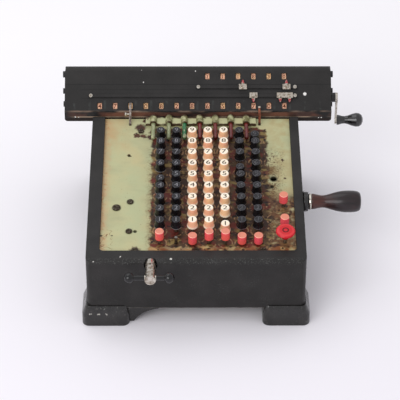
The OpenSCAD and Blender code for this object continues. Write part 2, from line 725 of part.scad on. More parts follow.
module grip_ferrule() {
    r = 8.2;
    color(nickel) placed() translate([ferrule_x, grip_c[0], grip_c[1]]) rotate([0, 90, 0]) rotate_extrude()
        polygon(concat([[grip_pin_r + fit_gap, 0]], arc([r - 1.6, 1.6], 1.6, -90, 90, 6),
            [[grip_pin_r + fit_gap, ferrule_t]]));
}

// The grip's outline as pairs of place along its length and share of its largest radius
grip_shape = [[0, 0.70], [0.04, 0.71], [0.13, 0.62], [0.2, 0.57], [0.28, 0.59], [0.4, 0.74],
    [0.52, 0.89], [0.64, 0.98], [0.76, 1], [0.88, 0.97], [0.95, 0.88], [0.985, 0.72], [1, 0.5]];
module crank_grip() {
    bore_r = grip_pin_r + fit_gap;
    bore_l = grip_l - 7;
    color("#3a201c") placed() translate([grip_x, grip_c[0], grip_c[1]]) rotate([0, 90, 0]) rotate_extrude()
        polygon(concat([[bore_r, 0]], [for (p = grip_shape) [p[1] * grip_r, p[0] * grip_l]],
            [[0, grip_l], [0, bore_l], [bore_r, bore_l]]));
}

module idler_gear() {
    color(steel) placed() difference() {
        gear_x(idler_c, idler_teeth, idler_angle, train_x, train_w);
        bar_x(idler_c, shaft_r + fit_gap, train_x - cut, train_x + train_w + cut);
    }
}

// Nine teeth of growing length round one drum, for the digits one to nine
module stepped_drum(k) {
    x0 = column_x(k) + drum_dx;
    bar_x(drum_c, drum_core_r, x0, x0 + drum_w);
    for (j = [1:9]) translate([x0, drum_c[0], drum_c[1]]) rotate([j * 20, 0, 0])
        translate([0, -0.8, drum_core_r - 1]) cube([drum_w * j / 9, 1.6, drum_r - drum_core_r + 1]);
}
module drum_shaft() {
    color(steel) placed() {
        bar_x(drum_c, shaft_r, frame_left_x, frame_right_x + frame_t);
        for (k = [1:columns]) stepped_drum(k);
        gear_x(drum_c, crank_teeth, drum_gear_angle, train_x, train_w);
    }
}

module column_gears(c, teeth, angle) {
    color(steel) placed() {
        bar_x(c, shaft_r, frame_left_x, frame_right_x + frame_t);
        for (k = [1:columns]) {
            gear_x(c, teeth, angle, column_x(k) + column_gear_dx, column_gear_w);
            bar_x(c, shaft_r + 2.5, column_x(k) + column_gear_dx - 3, column_x(k) + column_gear_dx + 1);
        }
    }
}
module selecting_gears() { column_gears(selecting_c, selecting_teeth, selecting_angle); }
module intermediate_gears() { column_gears(intermediate_c, intermediate_teeth, intermediate_angle); }

// The carriage's outline above its sills, drawn in by a wall's thickness
function carriage_top(t) = concat(
    [[face_y0 + t / sin(45), face_z0]],
    arc(top_c, top_r - t, 135, 25, 10),
    arc(back_c, back_r - t, 25, 0, 3));

module carriage_cover() {
    x0 = carriage_x0 + end_t;
    x1 = carriage_x1 - end_t;
    rear_z = carriage_z0 + sill_h;
    color(black) placed() difference() {
        along_x(x0, x1) polygon(concat(carriage_top(0), [[carriage_y1, rear_z],
            [carriage_y1 - cover_t, rear_z]], [for (i = [len(carriage_top(0)) - 1:-1:0])
                carriage_top(cover_t)[i]]));
        for (i = [0:product_windows - 1]) window(last_window_x - i * pitch, product_run);
        for (i = [0:counter_windows - 1]) window(last_window_x - i * pitch, counter_run);
        for (x = upper_rail_x) rail_hole(x, upper_rail_run);
        for (x = lower_rail_x) rail_hole(x, lower_rail_run);
    }
}
module on_face(x, run) {
    p = face_pt(run, 0);
    translate([x, p[0], p[1]]) rotate([45, 0, 0]) children();
}
module window(x, run) {
    on_face(x, run) translate([-window_w / 2, -window_h / 2, -4]) cube([window_w, window_h, 8]);
}
module rail_hole(x, run) { on_face(x, run) translate([0, 0, -4]) cylinder(r = 1.05, h = 8); }

// End plates, lip and sill, rounded at the ends' rear, top and lower corners
module carriage_casting() {
    intersection() {
        union() {
            for (x = [carriage_x0, carriage_x1 - end_t]) along_x(x, x + end_t)
                polygon(concat([[carriage_y0, carriage_z0], [carriage_y0, face_z0]], carriage_top(0),
                    [[carriage_y1, carriage_z0]]));
            translate([carriage_x0, carriage_y0, carriage_z0]) cube([carriage_l, lip_t, lip_h - seat_gap]);
            translate([carriage_x0, sill_y0, carriage_z0])
                cube([carriage_l, carriage_y1 - sill_y0, sill_h - seat_gap]);
            bar_x(product_c, dial_shaft_r, carriage_x0, carriage_x1);
            bar_x(counter_c, dial_shaft_r, carriage_x0, carriage_x1);
        }
        translate([0, 0, carriage_z0 - 1]) linear_extrude(top_c[1] + top_r - carriage_z0 + 2)
            rounded_box(carriage_x0, carriage_x1, carriage_y0 - 10, carriage_y1, end_t - 0.2);
        along_y(carriage_y0 - 1, carriage_y1 + 1)
            rounded_box(carriage_x0, carriage_x1, carriage_z0, top_c[1] + top_r, 3);
    }
}
module carriage_frame() {
    color(black) placed() difference() {
        union() {
            carriage_casting();
            shift_rack();
        }
        bar_x(clear_c, clear_shaft_r + fit_gap, carriage_x1 - end_t - cut, carriage_x1 + cut);
    }
}

// Toothed bar under the rear sill. Its gaps face the shift idler's teeth.
module shift_rack() {
    tooth_pitch = shift_m * PI;
    idler_r = pitch_r(shift_idler_teeth, shift_m);
    first = shift_x - idler_r * ((shift_idler_angle - 90) % (360 / shift_idler_teeth)) * PI / 180
        + tooth_pitch / 2;
    i0 = ceil((rack_x0 - first) / tooth_pitch);
    i1 = floor((rack_x1 - first) / tooth_pitch);
    root_z = rack_z + 1.15 * shift_m;
    translate([rack_x0, rack_y, root_z]) cube([rack_x1 - rack_x0, rack_w, carriage_z0 - root_z + 1]);
    for (i = [i0:i1]) along_y(rack_y, rack_y + rack_w) polygon([
        [first + i * tooth_pitch - 0.95 * shift_m, root_z + 0.1],
        [first + i * tooth_pitch - 0.33 * shift_m, rack_z - 0.8 * shift_m],
        [first + i * tooth_pitch + 0.33 * shift_m, rack_z - 0.8 * shift_m],
        [first + i * tooth_pitch + 0.95 * shift_m, root_z + 0.1]]);
}

module rail_bar(x, run) {
    on_face(x[0], run) translate([-2.4, -1.5, 0]) cube([x[1] - x[0] + 4.8, 3, rail_proud]);
}
module pointer_rails() {
    color(black) placed() difference() {
        union() {
            rail_bar(upper_rail_x, upper_rail_run);
            rail_bar(lower_rail_x, lower_rail_run);
        }
        for (x = upper_rail_x) rail_hole(x, upper_rail_run);
        for (x = lower_rail_x) rail_hole(x, lower_rail_run);
    }
}

module rail_screw(x, run, proud) {
    on_face(x, run) {
        difference() {
            translate([0, 0, proud]) cylinder(r = 1.9, h = 0.9);
            translate([-3, -0.25, proud + 0.5]) cube([6, 0.5, 2]);
        }
        translate([0, 0, -cover_t - 0.8]) cylinder(r = 1, h = cover_t + 0.9 + proud);
    }
}
// Round heads on the end plates, as Y and Z from the carriage's lower front corner
end_bosses = [[41.5, 38, 3.4], [33, 23, 3], [30, 9, 3]];
module carriage_screws() {
    color(steel) placed() {
        for (x = upper_rail_x) rail_screw(x, upper_rail_run, rail_proud);
        for (x = lower_rail_x) rail_screw(x, lower_rail_run, rail_proud);
        for (b = end_bosses) {
            c = [carriage_y0 + b[0] - 6, carriage_z0 + b[1] - 3];
            bar_x(c, b[2], carriage_x0 - boss_l, carriage_x0);
            bar_x(c, b[2], carriage_x1, carriage_x1 + boss_l);
        }
    }
}

// A pointer is a clip over its rail, with a round knob and a tongue towards the windows.
pointer_w = 8.2;
module pointer_clip(x, run, w) {
    on_face(x, run) difference() {
        translate([-w / 2, -2.8, 0.3]) cube([w, 5.6, rail_proud + 1.3]);
        translate([-w, -1.5 - 0.1, 0]) cube([2 * w, 3.2, rail_proud + 0.1]);
    }
}
module pointer_tongue(x, run, way) {
    on_face(x, run) {
        translate([0, 0, rail_proud + 1.5]) cylinder(r = 1.9, h = 1.7);
        translate([0, way * 2.6, rail_proud + 0.5]) rotate([0, 0, way > 0 ? 0 : 180])
            linear_extrude(0.8) polygon([[-1.9, 0], [1.9, 0], [1.5, 1.6], [0.5, 4.7],
                [-0.5, 4.7], [-1.5, 1.6]]);
    }
}
upper_pointer_x = [carriage_x1 - 91.3, carriage_x1 - 46.3];
lower_pointer_x = carriage_x1 - 80.4;
double_pointer_x = [carriage_x1 - 52.9, carriage_x1 - 43.3];
module upper_pointer(i) {
    color(nickel) placed() {
        pointer_clip(upper_pointer_x[i], upper_rail_run, pointer_w);
        pointer_tongue(upper_pointer_x[i], upper_rail_run, 1);
    }
}
module lower_pointer_1() {
    color(nickel) placed() {
        pointer_clip(lower_pointer_x, lower_rail_run, pointer_w);
        pointer_tongue(lower_pointer_x, lower_rail_run, -1);
    }
}
module lower_pointer_2() {
    middle = (double_pointer_x[0] + double_pointer_x[1]) / 2;
    color(nickel) placed() {
        pointer_clip(middle, lower_rail_run, double_pointer_x[1] - double_pointer_x[0] + 7);
        for (x = double_pointer_x) pointer_tongue(x, lower_rail_run, -1);
    }
}

module dial_row(c, r, count, geared) {
    difference() {
        union() {
            for (i = [0:count - 1]) {
                x = last_window_x - i * pitch;
                bar_x(c, r, x - dial_w / 2, x + dial_w / 2);
                bar_x(c, dial_shaft_r + 2, x - pitch / 2, x + pitch / 2);
                if (geared) gear_x(c, dial_teeth, dial_dir, x + column_gear_dx, column_gear_w);
            }
        }
        bar_x(c, dial_shaft_r + fit_gap, last_window_x - count * pitch, last_window_x + pitch);
    }
}
dial_cream = "#e9c49a";
module product_dials() {
    color(dial_cream) placed() dial_row(product_c, product_dial_r, product_windows, true);
}
module counter_dials() {
    color(dial_cream) placed() dial_row(counter_c, counter_dial_r, counter_windows, false);
}

module clearing_crank() {
    knob_c = [clear_c[0], clear_c[1] - clear_crank_r];
    color(nickel) placed() {
        bar_x(clear_c, clear_shaft_r, carriage_x1 - end_t - 6, clear_arm_x);
        bar_x(clear_c, 5, carriage_x1 + 0.3, clear_arm_x + clear_arm_t);
        bar_x(knob_c, 4.2, clear_arm_x, clear_arm_x + clear_arm_t);
        along_x(clear_arm_x, clear_arm_x + clear_arm_t) polygon([[clear_c[0] - 4, clear_c[1]],
            [clear_c[0] + 4, clear_c[1]], [knob_c[0] + 3, knob_c[1]], [knob_c[0] - 3, knob_c[1]]]);
        bar_x(knob_c, knob_pin_r, clear_arm_x, clear_arm_x + clear_arm_t + knob_l - 8);
    }
}

// The knob's outline as pairs of place along its length and radius
knob_shape = [[0, 5.2], [0.06, 5.3], [0.2, 4.2], [0.3, 3.9], [0.42, 4.5], [0.58, 6.2], [0.74, 7.3],
    [0.86, 7], [0.95, 5.4], [1, 2.6]];
module clearing_knob() {
    bore_r = knob_pin_r + fit_gap;
    color(black) placed()
        translate([clear_arm_x + clear_arm_t + seat_gap, clear_c[0], clear_c[1] - clear_crank_r])
            rotate([0, 90, 0]) rotate_extrude() polygon(concat([[bore_r, 0]],
                [for (p = knob_shape) [p[1], p[0] * knob_l]],
                [[0, knob_l], [0, knob_l - 7], [bore_r, knob_l - 7]]));
}

// The shaft runs from the front to the plate behind the gears, where its pinion sits.
module shift_handle() {
    front = -body_d / 2;
    bar_yy = front - shift_out + shift_bar_back;
    bar_x0 = shift_x - 1.1;
    color(nickel) placed() {
        bar_y(shift_c, shift_r, front - shift_out, front + wall - 0.3);
        bar_y(shift_c, shift_shaft_r, front, bracket_y + frame_t);
        translate([shift_c[0], rack_y + rack_w, shift_c[1]]) rotate([90, 0, 0]) linear_extrude(rack_w)
            gear_outline(shift_pinion_teeth, shift_m, 90);
        bar_x([bar_yy, shift_h], 2.6, bar_x0 - shift_bar_l / 2, bar_x0 + shift_bar_l / 2);
        for (side = [-1, 1]) translate([bar_x0 + side * shift_bar_l / 2, bar_yy, shift_h])
            rotate([0, 90, 0]) sphere(shift_ball_r);
    }
}

module shift_idler() {
    color(steel) placed() difference() {
        translate([shift_idler_c[0], rack_y + rack_w, shift_idler_c[1]]) rotate([90, 0, 0])
            linear_extrude(rack_w) gear_outline(shift_idler_teeth, shift_m, shift_idler_angle);
        bar_y(shift_idler_c, shift_shaft_r + fit_gap, rack_y - cut, rack_y + rack_w + cut);
    }
}

case_body();
base_pan();
feet();
keyboard_plate();
key_guide_plate();
case_screws();
mechanism_frame();
carriage_rails();
guide_fingers();
latch_slides();
digit_keys(1);  // digit_keys_1
digit_keys(2);  // digit_keys_2
digit_keys(3);  // digit_keys_3
digit_keys(4);  // digit_keys_4
digit_keys(5);  // digit_keys_5
digit_keys(6);  // digit_keys_6
digit_keys(7);  // digit_keys_7
latched_key(1);  // latched_key_1
latched_key(5);  // latched_key_5
latched_key(6);  // latched_key_6
latched_key(7);  // latched_key_7
clear_key(1);  // clear_key_1
clear_key(2);  // clear_key_2
clear_key(3);  // clear_key_3
clear_key(4);  // clear_key_4
clear_key(5);  // clear_key_5
clear_key(6);  // clear_key_6
clear_key(7);  // clear_key_7
control_key(rear_control_s);  // rear_control_key
control_key(front_control_s);  // front_control_key
large_control_key();
decimal_rod(1);  // decimal_rod_1
decimal_rod(2);  // decimal_rod_2
decimal_rod(3);  // decimal_rod_3
decimal_rod(4);  // decimal_rod_4
decimal_rod(5);  // decimal_rod_5
decimal_rod(6);  // decimal_rod_6
decimal_rod(7);  // decimal_rod_7
crank_arm();
crank_shaft();
grip_ferrule();
crank_grip();
idler_gear();
drum_shaft();
selecting_gears();
intermediate_gears();
carriage_frame();
carriage_cover();
pointer_rails();
carriage_screws();
upper_pointer(0);  // upper_pointer_1
upper_pointer(1);  // upper_pointer_2
lower_pointer_1();
lower_pointer_2();
product_dials();
counter_dials();
clearing_crank();
clearing_knob();
shift_handle();
shift_idler();
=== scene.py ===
"""Looks of the hand-cranked calculator: its finishes, engraved digits and small fittings."""

import math

import bpy
from mathutils import Euler, Matrix, Vector


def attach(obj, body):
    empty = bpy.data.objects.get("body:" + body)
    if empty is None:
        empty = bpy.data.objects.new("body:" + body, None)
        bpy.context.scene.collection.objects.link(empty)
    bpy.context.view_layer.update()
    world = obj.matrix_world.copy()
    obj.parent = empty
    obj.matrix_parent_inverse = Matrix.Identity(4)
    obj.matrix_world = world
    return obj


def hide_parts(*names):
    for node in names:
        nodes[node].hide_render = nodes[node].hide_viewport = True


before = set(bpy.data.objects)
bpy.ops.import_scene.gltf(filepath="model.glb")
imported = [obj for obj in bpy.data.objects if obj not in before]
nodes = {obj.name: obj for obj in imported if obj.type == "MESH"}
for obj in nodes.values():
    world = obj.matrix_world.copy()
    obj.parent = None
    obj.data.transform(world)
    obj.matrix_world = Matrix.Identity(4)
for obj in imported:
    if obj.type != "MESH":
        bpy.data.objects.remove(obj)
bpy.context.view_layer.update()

# Sizes are in millimetres from the middle of the case on the table, with X to the right, Y to the
# back and Z up. MIDDLE is where the middle of the whole machine's box lies there, and FAR is
# past it all.
MM = 0.001
MIDDLE = (18.7, -10.05, 0.0)
FAR = 1000.0

# The keyboard's own frame: S runs up its slope, N stands square to it from the key tops.
SLOPE = math.radians(10)
KEY_Y, KEY_H = -87.0, 95.5
PITCH = 15.875
MIDDLE_COLUMN_X = 12.4
COLUMNS = range(1, 8)
BLACK_COLUMNS, CREAM_COLUMNS = (1, 2), (3, 4, 5)
ROWS = range(1, 10)
LATCHED = {1: 5, 5: 1, 6: 6, 7: 9}
PRESSED_CLEAR_KEYS, CAPLESS_CLEAR_KEY = (3, 6, 7), 2
KEY_TRAVEL = 5.5
CONTROL_X = 85.7
LARGE_KEY_S = -14.9
PLATE_N = -17.0

# The carriage's face leans back at 45 degrees from its lower edge.
FACE_Y, FACE_Z = 76.9, 114.77
FACE_TILT = math.radians(45)
LAST_WINDOW_X = 91.775
WINDOW_ANGLE, DIAL_STEP = 135, 36
PRODUCT_AXIS, PRODUCT_R = (89.603, 110.073), 10.0
COUNTER_AXIS, COUNTER_R = (110.389, 133.687), 8.0
PRODUCT_DIGITS = "4750828655704"
COUNTER_DIGITS = "11183"


def column_x(column):
    return MIDDLE_COLUMN_X + (column - 4) * PITCH


def row_s(row):
    return (row - 1) * PITCH


def placed(x, y, z):
    """A place on the machine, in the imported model's frame and in metres."""
    return Vector((x - MIDDLE[0], y - MIDDLE[1], z - MIDDLE[2])) * MM


def on_slope(x, s, n):
    """The frame of a piece that lies on the keyboard's slope."""
    y = KEY_Y + s * math.cos(SLOPE) - n * math.sin(SLOPE)
    z = KEY_H + s * math.sin(SLOPE) + n * math.cos(SLOPE)
    return Matrix.Translation(placed(x, y, z)) @ Matrix.Rotation(SLOPE, 4, "X")


# ---- Camera ----

# All from the photograph's perspective: the focal length is in millimetres, the place in metres
FOCAL_LENGTH = 164.3
CAMERA_PLACE = (-0.02667, -1.50649, 1.11872)
CAMERA_TILT, CAMERA_TURN, CAMERA_ROLL = 55, -0.468, 0.2

camera_data = bpy.data.cameras.new("Camera")
camera_data.lens = FOCAL_LENGTH
camera = bpy.data.objects.new("Camera", camera_data)
bpy.context.scene.collection.objects.link(camera)
camera.location = CAMERA_PLACE
aim = Euler((math.radians(CAMERA_TILT), 0, math.radians(CAMERA_TURN))).to_matrix()
camera.rotation_euler = (aim @ Matrix.Rotation(math.radians(CAMERA_ROLL), 3, "Z")).to_euler()
bpy.context.scene.camera = camera


# ---- Modelling ----

WELD_REACH = 1e-6
FLAT_ANGLE = math.radians(0.5)
EDGE_ANGLE = math.radians(30)
SHADE_ANGLE = math.radians(35)


def select_only(piece):
    bpy.ops.object.select_all(action="DESELECT")
    piece.select_set(True)
    bpy.context.view_layer.objects.active = piece


def settle(piece, name):
    """Puts a finished piece's place into its mesh, and names it."""
    select_only(piece)
    bpy.ops.object.transform_apply(location=True, rotation=True, scale=True)
    piece.name = name
    piece.data.name = name
    return piece


def join(parts, name):
    """Makes one piece of several."""
    bpy.ops.object.select_all(action="DESELECT")
    for part in parts:
        part.select_set(True)
    bpy.context.view_layer.objects.active = parts[0]
    bpy.ops.object.join()
    return settle(parts[0], name)


def copied(model, place):
    """A copy of a model with a mesh of its own, at a place."""
    piece = model.copy()
    piece.data = model.data.copy()
    bpy.context.scene.collection.objects.link(piece)
    piece.matrix_world = place
    return piece


def turned(name, outline, place, sides):
    """A turned piece along its own Z from an outline of (distance, radius) in millimetres."""
    bpy.ops.object.select_all(action="DESELECT")
    first, radius = outline[0]
    bpy.ops.mesh.primitive_circle_add(
        vertices=sides, radius=radius * MM, fill_type="NGON", location=(0, 0, first * MM))
    piece = bpy.context.object
    bpy.ops.object.transform_apply(location=True)
    bpy.ops.object.mode_set(mode="EDIT")
    bpy.ops.mesh.select_all(action="SELECT")
    for distance, new_radius in outline[1:]:
        bpy.ops.mesh.extrude_region_move(
            TRANSFORM_OT_translate={"value": (0, 0, (distance - first) * MM)})
        share = new_radius / radius
        bpy.ops.transform.resize(value=(share, share, 1), center_override=(0, 0, distance * MM))
        first, radius = distance, new_radius
    bpy.ops.mesh.select_all(action="SELECT")
    bpy.ops.mesh.normals_make_consistent(inside=False)
    bpy.ops.object.mode_set(mode="OBJECT")
    bpy.ops.object.shade_smooth_by_angle(angle=SHADE_ANGLE)
    piece.matrix_world = place
    return settle(piece, name)


def smooth_outline(points, steps):
    """Points on a smooth curve through an outline's points."""
    ends = [points[0]] + list(points) + [points[-1]]
    curve = []
    for before, start, end, after in zip(ends, ends[1:], ends[2:], ends[3:]):
        for step in range(steps):
            t = step / steps
            curve.append(tuple(
                0.5 * (2 * b + (c - a) * t + (2 * a - 5 * b + 4 * c - d) * t * t
                       + (3 * b - a - 3 * c + d) * t ** 3)
                for a, b, c, d in zip(before, start, end, after)))
    return curve + [points[-1]]


def soften(node, width):
    """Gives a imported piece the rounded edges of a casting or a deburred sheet."""
    piece = nodes[node]
    weld = piece.modifiers.new("Weld", "WELD")
    weld.merge_threshold = WELD_REACH
    flat = piece.modifiers.new("Flat faces", "DECIMATE")
    flat.decimate_type = "DISSOLVE"
    flat.angle_limit = FLAT_ANGLE
    edge = piece.modifiers.new("Edges", "BEVEL")
    edge.width = width * MM
    edge.segments = 2
    edge.limit_method = "ANGLE"
    edge.angle_limit = EDGE_ANGLE
    edge.use_clamp_overlap = True
    shading = piece.modifiers.new("Shading", "WEIGHTED_NORMAL")
    shading.keep_sharp = False
    shading.weight = 100


# ---- Materials ----

def linear(colour):
    """An sRGB hex colour as the linear values that shaders take."""
    channels = [int(colour[i:i + 2], 16) / 255 for i in (1, 3, 5)]
    return tuple(c / 12.92 if c <= 0.04045 else ((c + 0.055) / 1.055) ** 2.4
                 for c in channels) + (1.0,)


def add(tree, kind, inputs=None, out=0, **settings):
    """Adds a node with its settings, fills or links its inputs, and hands back an output."""
    made = tree.nodes.new("ShaderNode" + kind)
    for name, value in settings.items():
        setattr(made, name, value)
    for name, value in (inputs or {}).items():
        if isinstance(value, bpy.types.NodeSocket):
            tree.links.new(value, made.inputs[name])
        else:
            made.inputs[name].default_value = value
    return made.outputs[out] if made.outputs else None


def new_finish(name, **values):
    """A material, its node tree, its shader, and the place on the machine in millimetres."""
    material = bpy.data.materials.new(name)
    material.use_nodes = True
    tree = material.node_tree
    tree.nodes.clear()
    surface = add(tree, "BsdfPrincipled", {k.replace("_", " "): v for k, v in values.items()})
    add(tree, "OutputMaterial", {"Surface": surface})
    place = add(tree, "Mapping", {
        "Vector": add(tree, "TexCoord", out="Object"), "Location": MIDDLE, "Scale": (1 / MM,) * 3})
    return material, tree, surface.node, place


def leaning(angle, y, z):
    """Settings that turn a place into a slope's frame through (y, z): X, up it, and out of it."""
    turn = Matrix.Rotation(-angle, 3, "X")
    return {"Rotation": (-angle, 0, 0), "Location": tuple(turn @ Vector((0, -y, -z)))}


ON_KEYBOARD = leaning(SLOPE, KEY_Y, KEY_H)
ON_FACE = leaning(FACE_TILT, FACE_Y, FACE_Z)
EVERY_WINDOW = (PITCH / 2, FAR, FAR)
EVERY_KEY = (PITCH / 2, PITCH / 2, FAR)
SPOT_CORE = 0.6


def surfaced(tree, shader, colour, rough, height, depth, strength):
    """Gives a shader its colour, a roughness of (mask, at 0, at 1), and a relief in millimetres."""
    tree.links.new(colour, shader.inputs["Base Color"])
    mask, low, high = rough
    tree.links.new(add(tree, "MapRange", {"Value": mask, "To Min": low, "To Max": high}),
                   shader.inputs["Roughness"])
    tree.links.new(
        add(tree, "Bump", {"Height": height, "Distance": depth * MM, "Strength": strength}),
        shader.inputs["Normal"])


def patches(tree, place, size, low, high, detail=3.0, stretch=(1, 1, 1), within=1.0):
    """Soft-edged patches some millimetres in size, 0 below low and 1 above high, inside a mask."""
    stretched = add(tree, "VectorMath", {0: place, 1: stretch}, operation="MULTIPLY")
    cloud = add(tree, "TexNoise", {
        "Vector": stretched, "Scale": 1 / size, "Detail": detail}, out="Fac")
    return add(tree, "MapRange", {
        "Value": cloud, "From Min": low, "From Max": high, "To Max": within})


def ragged(tree, place, reach, size):
    """Shifts a place by up to about reach millimetres, so that what lies there has uneven edges."""
    cloud = add(tree, "TexNoise", {"Vector": place, "Scale": 1 / size, "Detail": 2.0}, out="Color")
    shift = add(tree, "VectorMath", {0: cloud, 1: (0.5,) * 3}, operation="SUBTRACT")
    return add(tree, "VectorMath", {0: shift, 1: (2 * reach,) * 3, 2: place},
               operation="MULTIPLY_ADD")


def region(tree, place, low, high, soft, within=1.0):
    """A box with these corners, 0 at its walls and 1 after soft millimetres, inside a mask."""
    middle = [(a + b) / 2 for a, b in zip(low, high)]
    half = [(b - a) / 2 for a, b in zip(low, high)]
    away = add(tree, "VectorMath", {0: place, 1: middle}, operation="SUBTRACT")
    away = add(tree, "VectorMath", {0: away}, operation="ABSOLUTE")
    room = add(tree, "VectorMath", {0: half, 1: away}, operation="SUBTRACT")
    sides = add(tree, "SeparateXYZ", {0: room}).node.outputs
    least = add(tree, "Math", {0: sides[0], 1: sides[1]}, operation="MINIMUM")
    least = add(tree, "Math", {0: least, 1: sides[2]}, operation="MINIMUM")
    return add(tree, "MapRange", {
        "Value": least, "From Min": 0.0, "From Max": soft, "To Max": within})


def spots(tree, place, places):
    """Round spots, each a centre and a radius in millimetres, full inside their cores."""
    mask = 0.0
    for centre, radius in places:
        away = add(tree, "VectorMath", {0: place, 1: centre}, out="Value", operation="DISTANCE")
        spot = add(tree, "MapRange", {
            "Value": away, "From Min": radius, "From Max": radius * SPOT_CORE})
        mask = add(tree, "Math", {0: mask, 1: spot}, operation="MAXIMUM")
    return mask


def gap(tree, value, level):
    """How far a value is from a level."""
    off = add(tree, "Math", {0: value, 1: level}, operation="SUBTRACT")
    return add(tree, "Math", {0: off}, operation="ABSOLUTE")


def repeated(tree, place, x, half):
    """The place as seen from the nearest of many points, one at x, that stand twice half apart."""
    from_first = add(tree, "VectorMath", {0: place, 1: (x, 0, 0)}, operation="SUBTRACT")
    return add(tree, "VectorMath", {0: from_first, 1: half, 2: tuple(-side for side in half)},
               operation="WRAP")


def laid_over(tree, colour, *coats):
    """Lays coats over a colour, each where its mask says."""
    for mask, coat in coats:
        coat = linear(coat) if isinstance(coat, str) else coat
        colour = linear(colour) if isinstance(colour, str) else colour
        colour = add(tree, "Mix", {0: mask, 6: colour, 7: coat}, out=2, data_type="RGBA")
    return colour


# Chips in the enamel, each a centre and a radius
CASE_CHIPS = [((-72.4, -120.6, 75.4), 0.9), ((-24.2, -123.6, 74.8), 1.3),
              ((-98.0, -126.5, 74.0), 1.3)]
FOOT_CHIPS = [((-102.0, -132.0, 18.9), 1.2), ((-106.0, -132.0, 15.4), 1.3),
              ((-103.0, -132.0, 14.2), 1.4), ((-101.4, -132.0, 14.4), 1.2),
              ((-95.2, -132.0, 13.9), 1.3), ((-93.8, -132.0, 13.9), 1.3),
              ((-87.4, -132.0, 14.2), 1.2), ((-86.4, -132.0, 13.6), 1.1),
              ((-104.0, -128.0, 24.0), 1.3)]
CARRIAGE_CHIPS = [((113.0, 89.7, 127.6), 2.1), ((-55.7, 107.9, 145.7), 0.6),
                  ((0.1, 106.9, 144.8), 0.7), ((-53.7, 98.5, 136.3), 0.6),
                  ((-123.9, 75.9, 108.3), 0.7), ((-120.5, 75.9, 108.0), 0.6),
                  ((130.0, 75.9, 107.6), 0.8), ((127.0, 75.9, 107.4), 0.6)]


def case_marks(tree, place):
    """Wear of the case, grey scuffs on its front and chips, with a painted sheen of light speckle
    along its front top edge.
    """
    edge = region(tree, place, (-FAR, -FAR, 69.0), (FAR, -121.0, 79.0), 3.0)
    # Light speckle along the front top edge: a painted sheen
    sheen_speckle = patches(tree, place, 1.0, 0.58, 0.66, within=edge)
    front = region(tree, place, (-FAR, -FAR, -FAR), (FAR, -126.0, 66.0), 3.0)
    scuffed = patches(tree, place, 16, 0.5, 0.6, within=front)
    scuffs = patches(tree, place, 0.9, 0.58, 0.68, within=scuffed)
    chips = spots(tree, ragged(tree, place, 0.8, 1.2), CASE_CHIPS)
    return (sheen_speckle, "#525250"), (scuffs, "#5c5e5c"), (chips, "#d2cfc8")


LIP_BACK_Y = 77.3
RAILS_LEFT_X, RAILS_RIGHT_X = -118.0, 107.0


def carriage_marks(tree, place):
    """Marks of the carriage: a browned lip with a painted shade under it, rubbed edges painted as
    highlight lines, painted reflections beside the windows, a painted shade under each rail, a
    painted highlight along the upper rail, and chips.
    """
    face = add(tree, "Mapping", {"Vector": place, **ON_FACE})
    uneven = ragged(tree, place, 0.7, 5.0)
    lip = region(tree, uneven, (-FAR, -FAR, 108.8), (FAR, LIP_BACK_Y, 114.4), 0.8)
    rust = patches(tree, place, 18, 0.4, 0.58, stretch=(0.5, 1, 1), within=lip)
    # Painted shade on the carriage below its lip
    shade_under_lip = region(tree, place, (-FAR, -FAR, -FAR), (FAR, LIP_BACK_Y, 107.4), 0.8)
    rubbed = patches(tree, place, 9, 0.4, 0.6, stretch=(0.4, 1, 1))
    # The lip's rubbed edges, painted light as highlight lines
    upper_edge_highlight = region(tree, place, (-FAR, -FAR, 113.9), (FAR, 78.5, 115.3), 0.4, within=rubbed)
    lower_edge_highlight = region(tree, place, (-FAR, -FAR, 107.6), (FAR, LIP_BACK_Y, 109.2), 0.5,
                        within=rubbed)
    # Painted reflections, greenish grey, beside each window
    reflection_patches = patches(tree, place, 7, 0.42, 0.6)
    painted_reflection = region(tree, repeated(tree, face, LAST_WINDOW_X, EVERY_WINDOW), (4.2, 1.5, -0.3),
                    (6.8, 11.5, FAR), 1.2, within=reflection_patches)
    seam = region(tree, face, (-FAR, 27.95, -FAR), (FAR, 28.65, FAR), 0.25)
    # A painted highlight along the upper rail's top edge
    rail_highlight = region(tree, face, (RAILS_LEFT_X, 26.6, 0.4), (FAR, 27.3, FAR), 0.2)
    # Painted shade in a dark band under each rail
    shade_under_rails = add(tree, "Math", {
        0: region(tree, face, (RAILS_LEFT_X, 21.9, -FAR), (RAILS_RIGHT_X, 23.7, 0.3), 0.7),
        1: region(tree, face, (RAILS_LEFT_X, 12.6, -FAR), (RAILS_RIGHT_X, 14.6, 0.3), 0.7)},
        operation="MAXIMUM")
    chips = spots(tree, ragged(tree, place, 0.6, 1.2), CARRIAGE_CHIPS)
    return ((painted_reflection, "#4f5551"), (shade_under_rails, "#171615"), (rust, "#6a4436"),
            (shade_under_lip, "#231a16"), (upper_edge_highlight, "#8a7464"), (lower_edge_highlight, "#a08a74"),
            (seam, "#0d0d0d"), (rail_highlight, "#6a6762"), (chips, "#ece9e4"))


